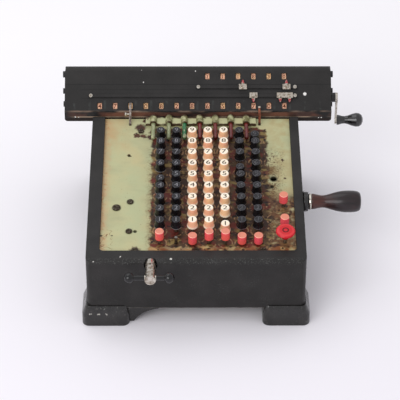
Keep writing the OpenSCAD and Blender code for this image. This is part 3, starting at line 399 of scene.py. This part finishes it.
def crackle_enamel(name, marks):
    """Black crackle enamel, air dried on cast iron: a fine wrinkled net with a dull sheen."""
    material, tree, shader, place = new_finish(name, IOR=1.5, Specular_IOR_Level=0.28)
    net = add(tree, "TexVoronoi", {"Vector": place, "Scale": 0.62}, out="Distance",
              feature="DISTANCE_TO_EDGE")
    net_height = add(tree, "MapRange", {"Value": net, "From Min": 0.0, "From Max": 0.35})
    grain = patches(tree, place, 1.1, 0.35, 0.7)
    worn = patches(tree, place, 26, 0.45, 0.7)
    # Dust lies on what faces up
    upward = add(tree, "SeparateXYZ", {0: add(tree, "NewGeometry", out="Normal")}, out=2)
    dust = add(tree, "MapRange", {"Value": upward, "From Min": 0.6, "From Max": 1.4,
                                  "To Max": patches(tree, place, 14, 0.3, 0.7)})
    colour = laid_over(tree, "#1f1e1d", (grain, "#262423"), (worn, "#2b2928"), (dust, "#2e2c2a"),
                       *marks(tree, place))
    surfaced(tree, shader, colour, (grain, 0.4, 0.6), net_height, 0.12, 0.5)
    return material


def gloss_enamel():
    """Black gloss enamel, brushed thick on sand-cast iron: deep, wet-looking, faintly wavy."""
    material, tree, shader, place = new_finish(
        "gloss enamel", IOR=1.5, Coat_Weight=0.22, Coat_Roughness=0.06)
    waves = patches(tree, place, 8, 0.3, 0.7, stretch=(1, 1, 0.4))
    scuffs = patches(tree, place, 2.2, 0.64, 0.72)
    chips = spots(tree, ragged(tree, place, 0.6, 1.3), FOOT_CHIPS)
    colour = laid_over(tree, "#131211", (waves, "#201e1c"), (scuffs, "#4a4844"), (chips, "#b4b0a8"))
    surfaced(tree, shader, colour, (waves, 0.16, 0.3), waves, 0.9, 0.9)
    return material


# Rust on the keyboard plate, and grime round its screws and holes, each as X, S and a radius
PLATE_RUST = [(-56.0, 147.5, 6.5), (-59.5, 136.4, 4.4), (-53.0, 135.0, 4.2), (-46.0, 133.5, 4.4),
              (-44.5, 141.0, 4.0), (-50.0, 157.5, 4.4), (-41.5, 158.0, 4.2), (-67.1, 106.1, 2.2),
              (66.0, 58.0, 4.6), (-58.8, -26.2, 6.4), (-48.2, -30.0, 2.0), (0.4, -26.0, 7.0),
              (64.0, -26.0, 6.0), (87.2, 99.2, 2.2), (95.6, 37.9, 2.8), (97.9, 46.3, 1.8),
              (89.2, 73.2, 2.0)]
PLATE_GRIME = [(77.6, 72.3, 5.0), (75.7, 61.2, 2.8), (-64.6, 40.0, 4.4), (-78.0, 31.8, 5.2),
               (-65.1, -0.3, 4.3), (-59.2, -0.3, 2.4), (-81.4, -5.9, 1.1), (-92.0, -5.9, 1.6)]
STEM_RING_R = 6.7


def plate_spots(tree, slope, places):
    """Round spots on the keyboard plate, each X, S and a radius."""
    return spots(tree, slope, [((x, s, PLATE_N), radius) for x, s, radius in places])


def tanned_edges(tree, slope, jagged):
    """Coats that tan the plate's edges, with orange-brown bits along the left one."""
    left = region(tree, jagged, (-FAR, -FAR, -FAR), (-84.0, FAR, FAR), 9.0)
    upper = region(tree, jagged, (-FAR, 112.0, -FAR), (-62.0, FAR, FAR), 30.0)
    outer_left = region(tree, jagged, (-FAR, -FAR, -FAR), (-88.0, FAR, FAR), 5.0)
    right = region(tree, jagged, (74.0, -FAR, -FAR), (FAR, FAR, FAR), 5.0)
    return ((patches(tree, slope, 14, 0.25, 0.5, within=left), "#c2a178"),
            (patches(tree, slope, 16, 0.3, 0.55, stretch=(1, 0.6, 1), within=upper), "#bd9f72"),
            (patches(tree, slope, 2.6, 0.56, 0.64, within=outer_left), "#b07440"),
            (patches(tree, slope, 10, 0.36, 0.6, within=right), "#b3a87c"))


def bared_ground(tree, slope, jagged, fine, deep):
    """The relief and coats of the plate where it is stained and rusted, mostly round its keys."""
    mottle = patches(tree, slope, 10, 0.42, 0.6, stretch=(0.7, 1, 1))
    maroon = patches(tree, slope, 12, 0.5, 0.6)
    khaki = patches(tree, slope, 7, 0.55, 0.64, stretch=(0.6, 1, 1))
    # A ring is worn round each stem
    from_key = repeated(tree, slope, column_x(1), EVERY_KEY)
    flat = add(tree, "VectorMath", {0: from_key, 1: (1, 1, 0)}, operation="MULTIPLY")
    from_stem = add(tree, "VectorMath", {0: flat}, out="Value", operation="LENGTH")
    ring = add(tree, "MapRange", {
        "Value": gap(tree, from_stem, STEM_RING_R), "From Min": 1.0, "From Max": 0.3,
        "To Max": patches(tree, slope, 5, 0.48, 0.6)})
    bare = laid_over(tree, "#351e12", (mottle, "#563e24"), (maroon, "#64261a"), (khaki, "#867040"),
                     (ring, "#a07c58"), (deep, "#1f110b"))
    strip = laid_over(tree, "#967450", (mottle, "#b8925e"), (khaki, "#c0b07c"),
                      (maroon, "#86522f"), (deep, "#3a2417"))
    browned = laid_over(tree, "#6e4a2c", (mottle, "#8d6a42"), (khaki, "#9c9064"),
                        (maroon, "#543020"), (fine, "#5a3a24"), (deep, "#2e1c12"))
    round_keys = region(tree, jagged, (-50.0, -FAR, -FAR), (88.0, 100.0, FAR), 12.0)
    low_right = region(tree, jagged, (62.0, -FAR, -FAR), (FAR, 54.0, FAR), 12.0)
    halo = region(tree, jagged, (-51.0, -24.0, -FAR), (92.0, 118.0, FAR), 14.0)
    ground = region(tree, jagged, (-45.5, -23.0, -FAR), (74.0, 147.0, FAR), 2.4)
    front = region(tree, jagged, (-47.0, -FAR, -FAR), (FAR, -20.5, FAR), 3.0)
    relief = add(tree, "Math", {0: ground, 1: mottle}, operation="MULTIPLY")
    stained = patches(tree, slope, 12, 0.38, 0.6, stretch=(0.5, 1, 1), within=round_keys)
    return relief, ((stained, "#80663e"),
                    (patches(tree, slope, 9, 0.28, 0.46, within=low_right), browned),
                    (patches(tree, slope, 1.9, 0.5, 0.62, within=halo), "#5c3f28"),
                    (ground, bare), (front, strip))


def rod_cover_grime(tree, slope):
    """Coats of the strip over the rods' ends: olive on its humps, brown rust along its lower edge,
    and a painted shadow along its upper edge.
    """
    humps = region(tree, slope, (-52.0, 146.0, -13.3), (63.0, 162.0, FAR), 1.5)
    uneven = ragged(tree, slope, 1.2, 4.0)
    low_edge = region(tree, uneven, (-53.0, 146.5, -16.4), (63.0, 150.6, FAR), 1.0)
    # Along the upper edge the brown is a painted shadow
    high_edge_shadow = region(tree, uneven, (-53.0, 157.4, -FAR), (63.0, 166.0, FAR), 1.0)
    rust_and_shadow_edges = add(tree, "Math", {0: low_edge, 1: high_edge_shadow}, operation="MAXIMUM")
    return ((patches(tree, slope, 5, 0.35, 0.6, within=humps), "#6f6c46"),
            (patches(tree, slope, 8, 0.3, 0.48, within=rust_and_shadow_edges), "#46331f"))


def plate_enamel():
    """Pale green enamel on sheet steel: yellowed, tanned at its edges, rusted round the keys."""
    material, tree, shader, place = new_finish("green enamel", IOR=1.5, Specular_IOR_Level=0.3)
    slope = add(tree, "Mapping", {"Vector": place, **ON_KEYBOARD})
    jagged = ragged(tree, slope, 5.0, 6.0)
    fine = patches(tree, slope, 3.2, 0.45, 0.65)
    deep = patches(tree, slope, 4.5, 0.56, 0.66)
    yellowed = patches(tree, slope, 34, 0.38, 0.66)
    dulled = patches(tree, slope, 20, 0.5, 0.72, stretch=(0.6, 1, 1))
    relief, ground_coats = bared_ground(tree, slope, jagged, fine, deep)
    rust = laid_over(tree, "#40261a", (fine, "#5a3826"), (deep, "#28160f"))
    # Thin scratched lines in the left front corner
    cloud = add(tree, "TexNoise", {"Vector": slope, "Scale": 0.09, "Detail": 2.0}, out="Fac")
    scratch = add(tree, "MapRange", {
        "Value": gap(tree, cloud, 0.5), "From Min": 0.012, "From Max": 0.004,
        "To Max": region(tree, slope, (-97.0, -30.0, -FAR), (-80.0, 2.0, FAR), 3.0)})
    specks = patches(tree, slope, 1.4, 0.7, 0.76)
    colour = laid_over(
        tree, "#b6b98f", (yellowed, "#c0b78a"), (dulled, "#adac85"),
        *tanned_edges(tree, slope, jagged), *ground_coats, *rod_cover_grime(tree, slope),
        (plate_spots(tree, ragged(tree, slope, 3.2, 3.0), PLATE_RUST), rust),
        (plate_spots(tree, slope, PLATE_GRIME), "#46422f"), (scratch, "#7a5232"),
        (specks, "#6b4a30"))
    surfaced(tree, shader, colour, (fine, 0.42, 0.62), relief, 0.12, 0.5)
    return material


def steel():
    """Plain milled steel: grey, with fine draw lines and a thin film of old oil."""
    material, tree, shader, place = new_finish("plain steel", Metallic=1.0)
    lines = patches(tree, place, 0.8, 0.3, 0.7, stretch=(0.08, 1, 1))
    film = patches(tree, place, 9, 0.45, 0.7)
    colour = laid_over(tree, "#8d8a84", (lines, "#77746f"), (film, "#5c544a"))
    surfaced(tree, shader, colour, (film, 0.32, 0.6), lines, 0.02, 0.5)
    return material


def oxidised_steel():
    """Blued steel screws with old rust: dark brown, dull, with a few rubbed glints."""
    material, tree, shader, place = new_finish("oxidised steel", Metallic=0.7)
    rust = patches(tree, place, 1.8, 0.4, 0.6)
    rubbed = patches(tree, place, 1.3, 0.62, 0.7)
    colour = laid_over(tree, "#4c4536", (rust, "#35291e"), (rubbed, "#8d8674"))
    surfaced(tree, shader, colour, (rust, 0.3, 0.65), rust, 0.05, 0.5)
    return material


def nickel(name, tarnish_share, painted=(), hole_shades=()):
    """Worn nickel plate: bright where rubbed, brown where tarnished, and black where painted."""
    material, tree, shader, place = new_finish(name, Metallic=1.0)
    tarnish = patches(tree, place, 3.4, 0.6 - tarnish_share, 0.84 - tarnish_share)
    pits = patches(tree, place, 1.1, 0.66, 0.76)
    rough = tarnish
    colour = laid_over(tree, "#cdc7bc", (tarnish, "#8f8374"), (pits, "#5c5046"))
    if painted:
        paint = 0.0
        for low, high in painted:
            paint = add(tree, "Math", {0: paint, 1: region(tree, place, low, high, 0.3)},
                        operation="MAXIMUM")
        bare = add(tree, "Math", {0: 1.0, 1: paint}, operation="SUBTRACT")
        tree.links.new(bare, shader.inputs["Metallic"])
        rough = add(tree, "Math", {0: tarnish, 1: paint}, operation="SUBTRACT", use_clamp=True)
        # Holes are painted as dark discs, standing in for their shade
        colour = laid_over(tree, colour, (spots(tree, place, hole_shades), "#241a14"), (paint, "#0c0b0c"))
    surfaced(tree, shader, colour, (rough, 0.14, 0.5), tarnish, 0.03, 0.6)
    return material


def pointer_nickel():
    """Nickel plate on the decimal pointers, with red enamel left in the middle of their tongues."""
    material, tree, shader, place = new_finish("nickel pointers")
    face = add(tree, "Mapping", {"Vector": place, **ON_FACE})
    tarnish = patches(tree, place, 2.2, 0.45, 0.62)
    pits = patches(tree, place, 0.8, 0.6, 0.66)
    upper = region(tree, face, (-FAR, 28.6, -FAR), (FAR, FAR, FAR), 0.3)
    lower = region(tree, face, (-FAR, -FAR, -FAR), (FAR, 12.6, FAR), 0.3)
    tongue = add(tree, "Math", {0: upper, 1: lower}, operation="MAXIMUM")
    enamel = patches(tree, place, 1.3, 0.4, 0.5, within=tongue)
    colour = laid_over(tree, "#cfc6b8", (tarnish, "#8d8070"), (pits, "#4c4036"),
                       (enamel, "#a63238"))
    bare = add(tree, "Math", {0: 1.0, 1: enamel}, operation="SUBTRACT")
    tree.links.new(bare, shader.inputs["Metallic"])
    surfaced(tree, shader, colour, (tarnish, 0.22, 0.5), tarnish, 0.03, 0.6)
    return material


def finger_steel():
    """Spring steel guide fingers: the left one dull grey, the right one rusted, with a painted
    highlight on its tip.
    """
    material, tree, shader, place = new_finish("spring steel", Metallic=0.6)
    scale = patches(tree, place, 2.2, 0.4, 0.62)
    grey = laid_over(tree, "#a39a92", (scale, "#6f625a"))
    red = laid_over(tree, "#935239", (scale, "#563122"))
    right = region(tree, place, (0, -FAR, -FAR), (FAR, FAR, FAR), 1.0)
    # A painted highlight on the right finger's tip
    tip_highlight = region(tree, place, (0, 75.5, 118.4), (FAR, FAR, FAR), 0.8)
    low = region(tree, place, (-FAR, -FAR, -FAR), (FAR, FAR, 107.5), 2.5)
    colour = laid_over(tree, grey, (right, red), (tip_highlight, "#cdbfae"), (low, "#3a2a22"))
    surfaced(tree, shader, colour, (scale, 0.35, 0.6), scale, 0.06, 0.8)
    return material


def key_plastic(name, top, looks, worn_share, cap_h, ring_r=None):
    """Polished celluloid cap on a steel stem: glossy, its top rubbed, a painted highlight on its
    rim and, on the cream and black keys, on its light foot.
    """
    material, tree, shader, place = new_finish(
        name, IOR=1.5, Specular_IOR_Level=looks["shine"], Coat_Roughness=0.15,
        Coat_Weight=looks["coat"])
    slope = add(tree, "Mapping", {"Vector": place, **ON_KEYBOARD})
    cap_foot = top - cap_h
    rim_low, rim_high = (top + n for n in looks["rim_n"])
    is_top = region(tree, slope, (-FAR, -FAR, top - 0.6), (FAR, FAR, FAR), 0.25)
    # A painted highlight on the rim round the key's top
    rim = region(tree, slope, (-FAR, -FAR, rim_low), (FAR, FAR, rim_high), 0.08)
    # The light foot of the cream and black keys is a painted highlight
    flare = region(tree, slope, (-FAR, -FAR, -FAR), (FAR, FAR, cap_foot + looks["flare"]),
                   looks["flare"] * 0.6)
    stem = region(tree, slope, (-FAR, -FAR, -FAR), (FAR, FAR, cap_foot - 0.05), 0.05)
    rubbed = patches(tree, place, 2.4, 0.62 - worn_share, 0.8 - worn_share)
    stain = patches(tree, place, 5.5, 0.45, 0.7)
    tint = patches(tree, place, 14, 0.42, 0.6, detail=1.0)
    side = laid_over(tree, looks["side"], (tint, looks["tint"]), (flare, looks["foot"]))
    face = laid_over(tree, looks["top"], (rubbed, looks["rubbed"]), (rim, looks["rim"]))
    metal = laid_over(tree, "#46382d", (stain, "#6a5c4c"))
    colour = laid_over(tree, side, (is_top, face), (stem, metal))
    if ring_r:
        # A dark ring on the large key's top, which may be the edge of a fixing screw
        from_middle = add(tree, "VectorMath", {0: slope, 1: (CONTROL_X, LARGE_KEY_S, 0.0)},
                          out="Value", operation="DISTANCE")
        ring = add(tree, "MapRange", {
            "Value": gap(tree, from_middle, ring_r), "From Min": 0.8, "From Max": 0.4})
        colour = laid_over(tree, colour, (ring, "#4c1014"))
    surfaced(tree, shader, colour, (rubbed, 0.24, 0.46), stain, 0.03, 0.4)
    return material


def rod_paint(name, colour, rubbed_colour):
    """Enamelled steel rod: glossy, rubbed along its crown where fingers turn it."""
    material, tree, shader, place = new_finish(name, IOR=1.5, Coat_Weight=0.3)
    rubbed = patches(tree, place, 3.0, 0.5, 0.66, stretch=(1, 0.35, 1))
    colour = laid_over(tree, colour, (rubbed, rubbed_colour))
    surfaced(tree, shader, colour, (rubbed, 0.24, 0.5), rubbed, 0.04, 0.5)
    return material


def stained_wood():
    """Turned beech, stained and lacquered: dark red-brown, with fine grain along its length."""
    material, tree, shader, place = new_finish(
        "stained beech", IOR=1.5, Specular_IOR_Level=0.35, Coat_Weight=0.25, Coat_Roughness=0.08)
    grain = patches(tree, place, 1.3, 0.4, 0.66, stretch=(0.07, 1, 1))
    rubbed = patches(tree, place, 7, 0.55, 0.75)
    dark_end = region(tree, place, (122.0, -FAR, -FAR), (FAR, FAR, FAR), 18.0)
    dark_grain = add(tree, "Math", {0: grain, 1: dark_end}, operation="MULTIPLY")
    dark_rubbed = add(tree, "Math", {0: rubbed, 1: dark_end}, operation="MULTIPLY")
    colour = laid_over(tree, "#4a2219", (grain, "#361812"), (dark_end, "#221517"),
                       (dark_grain, "#180f10"), (dark_rubbed, "#2c1a19"))
    surfaced(tree, shader, colour, (rubbed, 0.34, 0.44), grain, 0.04, 0.5)
    return material


def dial_enamel():
    """Cream enamel on dial drums, yellowed to orange and grimed between the figures."""
    material, tree, shader, place = new_finish("dial enamel", IOR=1.5, Specular_IOR_Level=0.3)
    grime = patches(tree, place, 3.0, 0.55, 0.8)
    pink = patches(tree, place, 22, 0.45, 0.55, detail=1.0)
    # Each figure stands on a narrow cream band, dark on either side of it
    band = region(tree, repeated(tree, place, LAST_WINDOW_X, EVERY_WINDOW), (-2.3, -FAR, -FAR),
                  (2.3, FAR, FAR), 0.25)
    cream = laid_over(tree, "#ffcf9c", (pink, "#ffc2a0"), (grime, "#f0a86c"))
    surfaced(tree, shader, laid_over(tree, "#16100d", (band, cream)), (grime, 0.4, 0.6), grime,
             0.02, 0.4)
    return material


def black_resin():
    """Moulded phenolic resin: jet black and glossy, with fine rubbing marks."""
    material, tree, shader, place = new_finish(
        "black phenolic resin", IOR=1.6, Coat_Weight=0.3, Coat_Roughness=0.08)
    rubbed = patches(tree, place, 1.7, 0.5, 0.7)
    colour = laid_over(tree, "#100f10", (rubbed, "#191717"))
    surfaced(tree, shader, colour, (rubbed, 0.14, 0.3), rubbed, 0.01, 0.4)
    return material


def ink(name, colour, faded, fade_share):
    """Wax filling of an engraved figure: matt, and worn thin in places."""
    material, tree, shader, place = new_finish(name, IOR=1.45, Specular_IOR_Level=0.2)
    thin = patches(tree, place, 1.1, 0.7 - fade_share, 0.85 - fade_share)
    colour = laid_over(tree, colour, (thin, faded))
    surfaced(tree, shader, colour, (thin, 0.55, 0.7), thin, 0.01, 0.3)
    return material


# Colours of a key's top, of the same where rubbed, of the painted highlight on its rim, of its
# side, stains there and its foot, which on the cream and black keys is a painted highlight.
# Then where the rim lies from the top, how high the light foot is, and how glossy the cap is.
CREAM = {"top": "#fff0d8", "rubbed": "#fadcb8", "rim": "#fffaee", "side": "#ffd2a2",
         "tint": "#ffc09a", "foot": "#fff0d6", "rim_n": (-0.28, 1), "flare": 2.8, "shine": 0.5,
         "coat": 0.2}
BLACK = {"top": "#1c1b1d", "rubbed": "#303033", "rim": "#48484e", "side": "#100f11",
         "tint": "#17161a", "foot": "#8a898f", "rim_n": (-0.28, 1), "flare": 0.8, "shine": 0.25,
         "coat": 0.1}
WORN_BLACK = {"top": "#222123", "rubbed": "#3c3b3f", "rim": "#525156", "side": "#121113",
              "tint": "#1a181a", "foot": "#78767c", "rim_n": (-0.28, 1), "flare": 0.8,
              "shine": 0.25, "coat": 0.1}
RED = {"top": "#e08a72", "rubbed": "#cf7a64", "rim": "#ffb8a4", "side": "#f2625a",
       "tint": "#ee5560", "foot": "#e2564c", "rim_n": (-0.6, -0.06), "flare": 1.0, "shine": 0.3,
       "coat": 0.1}
LARGE_RED = {"top": "#cc2a30", "rubbed": "#bb282c", "rim": "#d83a3e", "side": "#c2202a",
             "tint": "#b81e26", "foot": "#a01a20", "rim_n": (-0.6, -0.1), "flare": 5.4,
             "shine": 0.2, "coat": 0.05}
DIGIT_CAP_H, CLEAR_CAP_H, LARGE_CAP_H = 9.4, 9.8, 9.6
# By column, the looks of its digit keys and how much of their tops is rubbed
KEY_LOOKS = {**{column: (BLACK, 0.02) for column in BLACK_COLUMNS},
             **{column: (CREAM, 0.05) for column in CREAM_COLUMNS}}

# A rod's enamel, and the same where it is rubbed
OLIVE, GREEN, DARK_RED = ("#8d936c", "#b4b58a"), ("#2c7245", "#c9cba0"), ("#6e1f1b", "#551816")
ROD_LOOKS = {1: OLIVE, 2: OLIVE, 3: GREEN}

# What is painted black of the nickel pieces, as boxes, and two holes in the shift handle, painted
# dark inside as their shade
BOSSES = ((-FAR, -FAR, -FAR), (-130, FAR, FAR)), ((137, -FAR, -FAR), (FAR, FAR, FAR))
SHIFT_BAR = ((-FAR, -FAR, -FAR), (-48.8, -140, FAR)), ((-38.2, -FAR, -FAR), (FAR, -140, FAR))
CLEARING_HUB = ((137, -FAR, -FAR), (145, FAR, FAR)),
SHIFT_HOLE_SHADES = [((-43.8, -131.9, 75.2), 1.3), ((-49.6, -149.6, 68.4), 1.5)]


def assign(material, *names):
    for name in names:
        nodes[name].data.materials.clear()
        nodes[name].data.materials.append(material)


bright_nickel = nickel("nickel plate", 0.06)

assign(crackle_enamel("crackle enamel", case_marks), "case_body")
assign(crackle_enamel("carriage enamel", carriage_marks),
       "carriage_frame", "carriage_cover", "pointer_rails")
assign(gloss_enamel(), "feet", "crank_arm")
assign(plate_enamel(), "keyboard_plate")
assign(steel(), "base_pan", "key_guide_plate", "mechanism_frame", "carriage_rails", "latch_slides",
       "crank_shaft", "idler_gear", "drum_shaft", "selecting_gears", "intermediate_gears",
       "shift_idler", "clear_key_2")
assign(oxidised_steel(), "case_screws")
assign(bright_nickel, "grip_ferrule")
assign(nickel("nickel screws and bosses", 0.1, BOSSES), "carriage_screws")
assign(nickel("nickel shift handle", 0.2, SHIFT_BAR, SHIFT_HOLE_SHADES), "shift_handle")
assign(nickel("nickel clearing crank", 0.12, CLEARING_HUB), "clearing_crank")
assign(pointer_nickel(), "upper_pointer_1", "upper_pointer_2", "lower_pointer_1", "lower_pointer_2")
assign(finger_steel(), "guide_fingers")
assign(dial_enamel(), "product_dials", "counter_dials")
assign(black_resin(), "clearing_knob")

for column in COLUMNS:
    looks, worn_share = KEY_LOOKS.get(column, (WORN_BLACK, 0.1))
    assign(key_plastic(f"key celluloid {column}", 0.0, looks, worn_share, DIGIT_CAP_H),
           f"digit_keys_{column}")
    if column in LATCHED:
        assign(key_plastic(f"pressed key celluloid {column}", -KEY_TRAVEL, looks, worn_share,
                           DIGIT_CAP_H),
               f"latched_key_{column}")
    if column != CAPLESS_CLEAR_KEY:
        top = -KEY_TRAVEL if column in PRESSED_CLEAR_KEYS else 0.0
        assign(key_plastic(f"clearing key celluloid {column}", top, RED, 0.08, CLEAR_CAP_H),
               f"clear_key_{column}")
    assign(rod_paint(f"rod paint {column}", *ROD_LOOKS.get(column, DARK_RED)),
           f"decimal_rod_{column}")
assign(key_plastic("control key celluloid", 0.0, RED, 0.08, CLEAR_CAP_H),
       "rear_control_key", "front_control_key")
assign(key_plastic("large key celluloid", 0.0, LARGE_RED, 0.04, LARGE_CAP_H, ring_r=2.6),
       "large_control_key")

for width, names in {
        0.8: ("feet",),
        0.6: ("case_body", "carriage_frame", "crank_arm"),
        0.3: ("carriage_cover", "pointer_rails", "clearing_crank"),
        0.25: ("upper_pointer_1", "upper_pointer_2", "lower_pointer_1", "lower_pointer_2"),
        0.2: ("keyboard_plate", "guide_fingers", "carriage_screws"),
        0.15: ("case_screws",)}.items():
    for name in names:
        soften(name, width)


# ---- Digits ----

FIGURE_PROUD = 0.03
KEY_DISH = -0.3
CURVE_STEPS = 3
DIAL_FIGURE_SLICES = 11


def digit_model(text, height, breadth, bold):
    """A flat digit in the XY plane, round its own middle. Breadth stretches it sideways."""
    bpy.ops.object.select_all(action="DESELECT")
    bpy.ops.object.text_add()
    piece = bpy.context.object
    piece.data.body = text
    piece.data.resolution_u = CURVE_STEPS
    piece.data.offset = bold
    bpy.ops.object.convert(target="MESH")
    piece = bpy.context.object
    corners = [Vector(c) for c in piece.bound_box]
    low, high = corners[0], corners[6]
    share = height * MM / (high.y - low.y)
    size = Matrix.Diagonal((share * breadth, share, share, 1))
    piece.data.transform(size @ Matrix.Translation(-(low + high) / 2))
    return piece


bold_figures = {text: digit_model(text, 5.2, 1.35, 0.0) for text in "123456789"}
thin_figures = {text: digit_model(text, 4.8, 1.2, -0.014) for text in "123456789"}
dark_ink = ink("brown-black figure wax", "#20130c", "#6a4a34", 0.05)
pale_ink = ink("grey-white figure wax", "#96959a", "#4c4c52", 0.16)
faded_ink = ink("faded grey figure wax", "#77767a", "#434346", 0.3)


def key_figures(name, body, column, rows, top):
    """The figures on one column's key tops, for these rows."""
    cream = column in CREAM_COLUMNS
    figures = bold_figures if cream else thin_figures
    parts = [copied(figures[str(row)],
                    on_slope(column_x(column), row_s(row), top + KEY_DISH + FIGURE_PROUD))
             for row in rows]
    piece = join(parts, name)
    piece.data.materials.clear()
    piece.data.materials.append(
        dark_ink if cream else pale_ink if column in BLACK_COLUMNS else faded_ink)
    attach(piece, body)


for column in COLUMNS:
    standing = [row for row in ROWS if LATCHED.get(column) != row]
    key_figures(f"key_figures_{column}", f"digit_column_{column}", column, standing, 0.0)
    if column in LATCHED:
        key_figures(f"pressed_key_figure_{column}", f"latched_key_{column}", column,
                    [LATCHED[column]], -KEY_TRAVEL)


def dial_figures(name, body, axis, radius, height, shown):
    """Ten figures round each dial. The shown one faces the window."""
    models = {}
    for text in "0123456789":
        model = digit_model(text, height, 1.1, 0.012)
        # Cut across, so that it can bend round the dial
        select_only(model)
        bpy.ops.object.mode_set(mode="EDIT")
        for cut in range(-(DIAL_FIGURE_SLICES // 2), DIAL_FIGURE_SLICES // 2 + 1):
            bpy.ops.mesh.select_all(action="SELECT")
            bpy.ops.mesh.bisect(
                plane_co=(0, cut * height * MM / DIAL_FIGURE_SLICES, 0), plane_no=(0, 1, 0))
        bpy.ops.object.mode_set(mode="OBJECT")
        models[text] = model
    parts = []
    first_x = LAST_WINDOW_X - (len(shown) - 1) * PITCH
    reach = radius + FIGURE_PROUD
    for window, digit in enumerate(shown):
        for turn in range(10):
            part = copied(models[str((int(digit) + turn) % 10)], Matrix.Identity(4))
            for vertex in part.data.vertices:
                angle = math.radians(WINDOW_ANGLE + DIAL_STEP * turn) - vertex.co.y / (radius * MM)
                vertex.co = placed(
                    first_x + window * PITCH + vertex.co.x / MM,
                    axis[0] + reach * math.cos(angle),
                    axis[1] + reach * math.sin(angle))
            parts.append(part)
    for model in models.values():
        bpy.data.objects.remove(model)
    piece = join(parts, name)
    piece.data.materials.clear()
    piece.data.materials.append(ink(f"dial figure ink {body}", "#5a2613", "#8a4a28", 0.1))
    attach(piece, body)


dial_figures("product_figures", "product_dials", PRODUCT_AXIS, PRODUCT_R, 4.4, PRODUCT_DIGITS)
dial_figures("counter_figures", "counter_dials", COUNTER_AXIS, COUNTER_R, 3.6, COUNTER_DIGITS + "0")
for figure in (*bold_figures.values(), *thin_figures.values()):
    bpy.data.objects.remove(figure)


# ---- Wooden grip ----

GRIP_X, GRIP_L, GRIP_R = 114.1, 48.6, 10.8
GRIP_AXIS = (-42.999, 85.001)
# Shares of the grip's length and radius
GRIP_SHAPE = [(0, 0.70), (0.04, 0.71), (0.13, 0.62), (0.2, 0.57), (0.28, 0.59), (0.4, 0.74),
              (0.52, 0.89), (0.64, 0.98), (0.76, 1), (0.88, 0.97), (0.95, 0.88), (0.985, 0.72),
              (1, 0.45)]
TO_THE_RIGHT = Matrix.Rotation(math.radians(90), 4, "Y")
outline = smooth_outline(
    [(place * GRIP_L, share * GRIP_R) for place, share in GRIP_SHAPE], steps=4)
grip = turned("wooden_grip", outline,
              Matrix.Translation(placed(GRIP_X, *GRIP_AXIS)) @ TO_THE_RIGHT, sides=64)
grip.data.materials.append(stained_wood())
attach(grip, "grip")
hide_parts("crank_grip")


# ---- Roller on the left guide finger ----

ROLLER_PLACE = (-72.6, 68.8, 116.2)
ROLLER_SHAPE = [(0, 1.5), (0.3, 1.9), (1.9, 1.9), (2.2, 1.5), (2.3, 0.9), (4.6, 0.9)]
roller = turned("guide_roller", ROLLER_SHAPE,
                Matrix.Translation(placed(*ROLLER_PLACE)) @ TO_THE_RIGHT, sides=32)
roller.data.materials.append(bright_nickel)
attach(roller, "case")


# ---- Floor and light, in metres and watts ----

FLOOR_SIZE, FLOOR_DROP = 12, 0.0002
WORLD_STRENGTH = 0.82

bpy.ops.object.select_all(action="DESELECT")
bpy.ops.mesh.primitive_plane_add(size=FLOOR_SIZE, location=(0, 0, -FLOOR_DROP))
floor = bpy.context.object
floor.name = "floor"
floor_material, floor_tree, floor_shader, floor_place = new_finish(
    "pale paper sweep", Roughness=0.9)
# The sweep is painted a touch darker towards the front, as painted shade for the light falling off
# there
painted_falloff = add(floor_tree, "MapRange", {
    "Value": add(floor_tree, "SeparateXYZ", {0: floor_place}, out=1),
    "From Min": -420.0, "From Max": 420.0})
floor_tree.links.new(laid_over(floor_tree, "#f2eef4", (painted_falloff, "#fffdff")),
                     floor_shader.inputs["Base Color"])
floor.data.materials.append(floor_material)

world = bpy.data.worlds.new("Studio")
bpy.context.scene.world = world
world.use_nodes = True
world.node_tree.nodes["Background"].inputs["Color"].default_value = linear("#f4f4f8")
world.node_tree.nodes["Background"].inputs["Strength"].default_value = WORLD_STRENGTH


def lamp(name, place, target, size, power):
    data = bpy.data.lights.new(name, "AREA")
    data.shape = "RECTANGLE"
    data.size, data.size_y = size
    data.energy = power
    piece = bpy.data.objects.new(name, data)
    bpy.context.scene.collection.objects.link(piece)
    piece.location = place
    piece.rotation_euler = (Vector(target) - Vector(place)).to_track_quat("-Z", "Y").to_euler()


lamp("overhead softbox", (-0.6, 0.5, 1.8), target=(0, 0, 0), size=(1.6, 1.2), power=6)
lamp("front softbox", (-1.1, -1.7, 1.2), target=(0, 0, 0.05), size=(1.5, 1.3), power=19)

bpy.context.scene.view_settings.view_transform = "Standard"
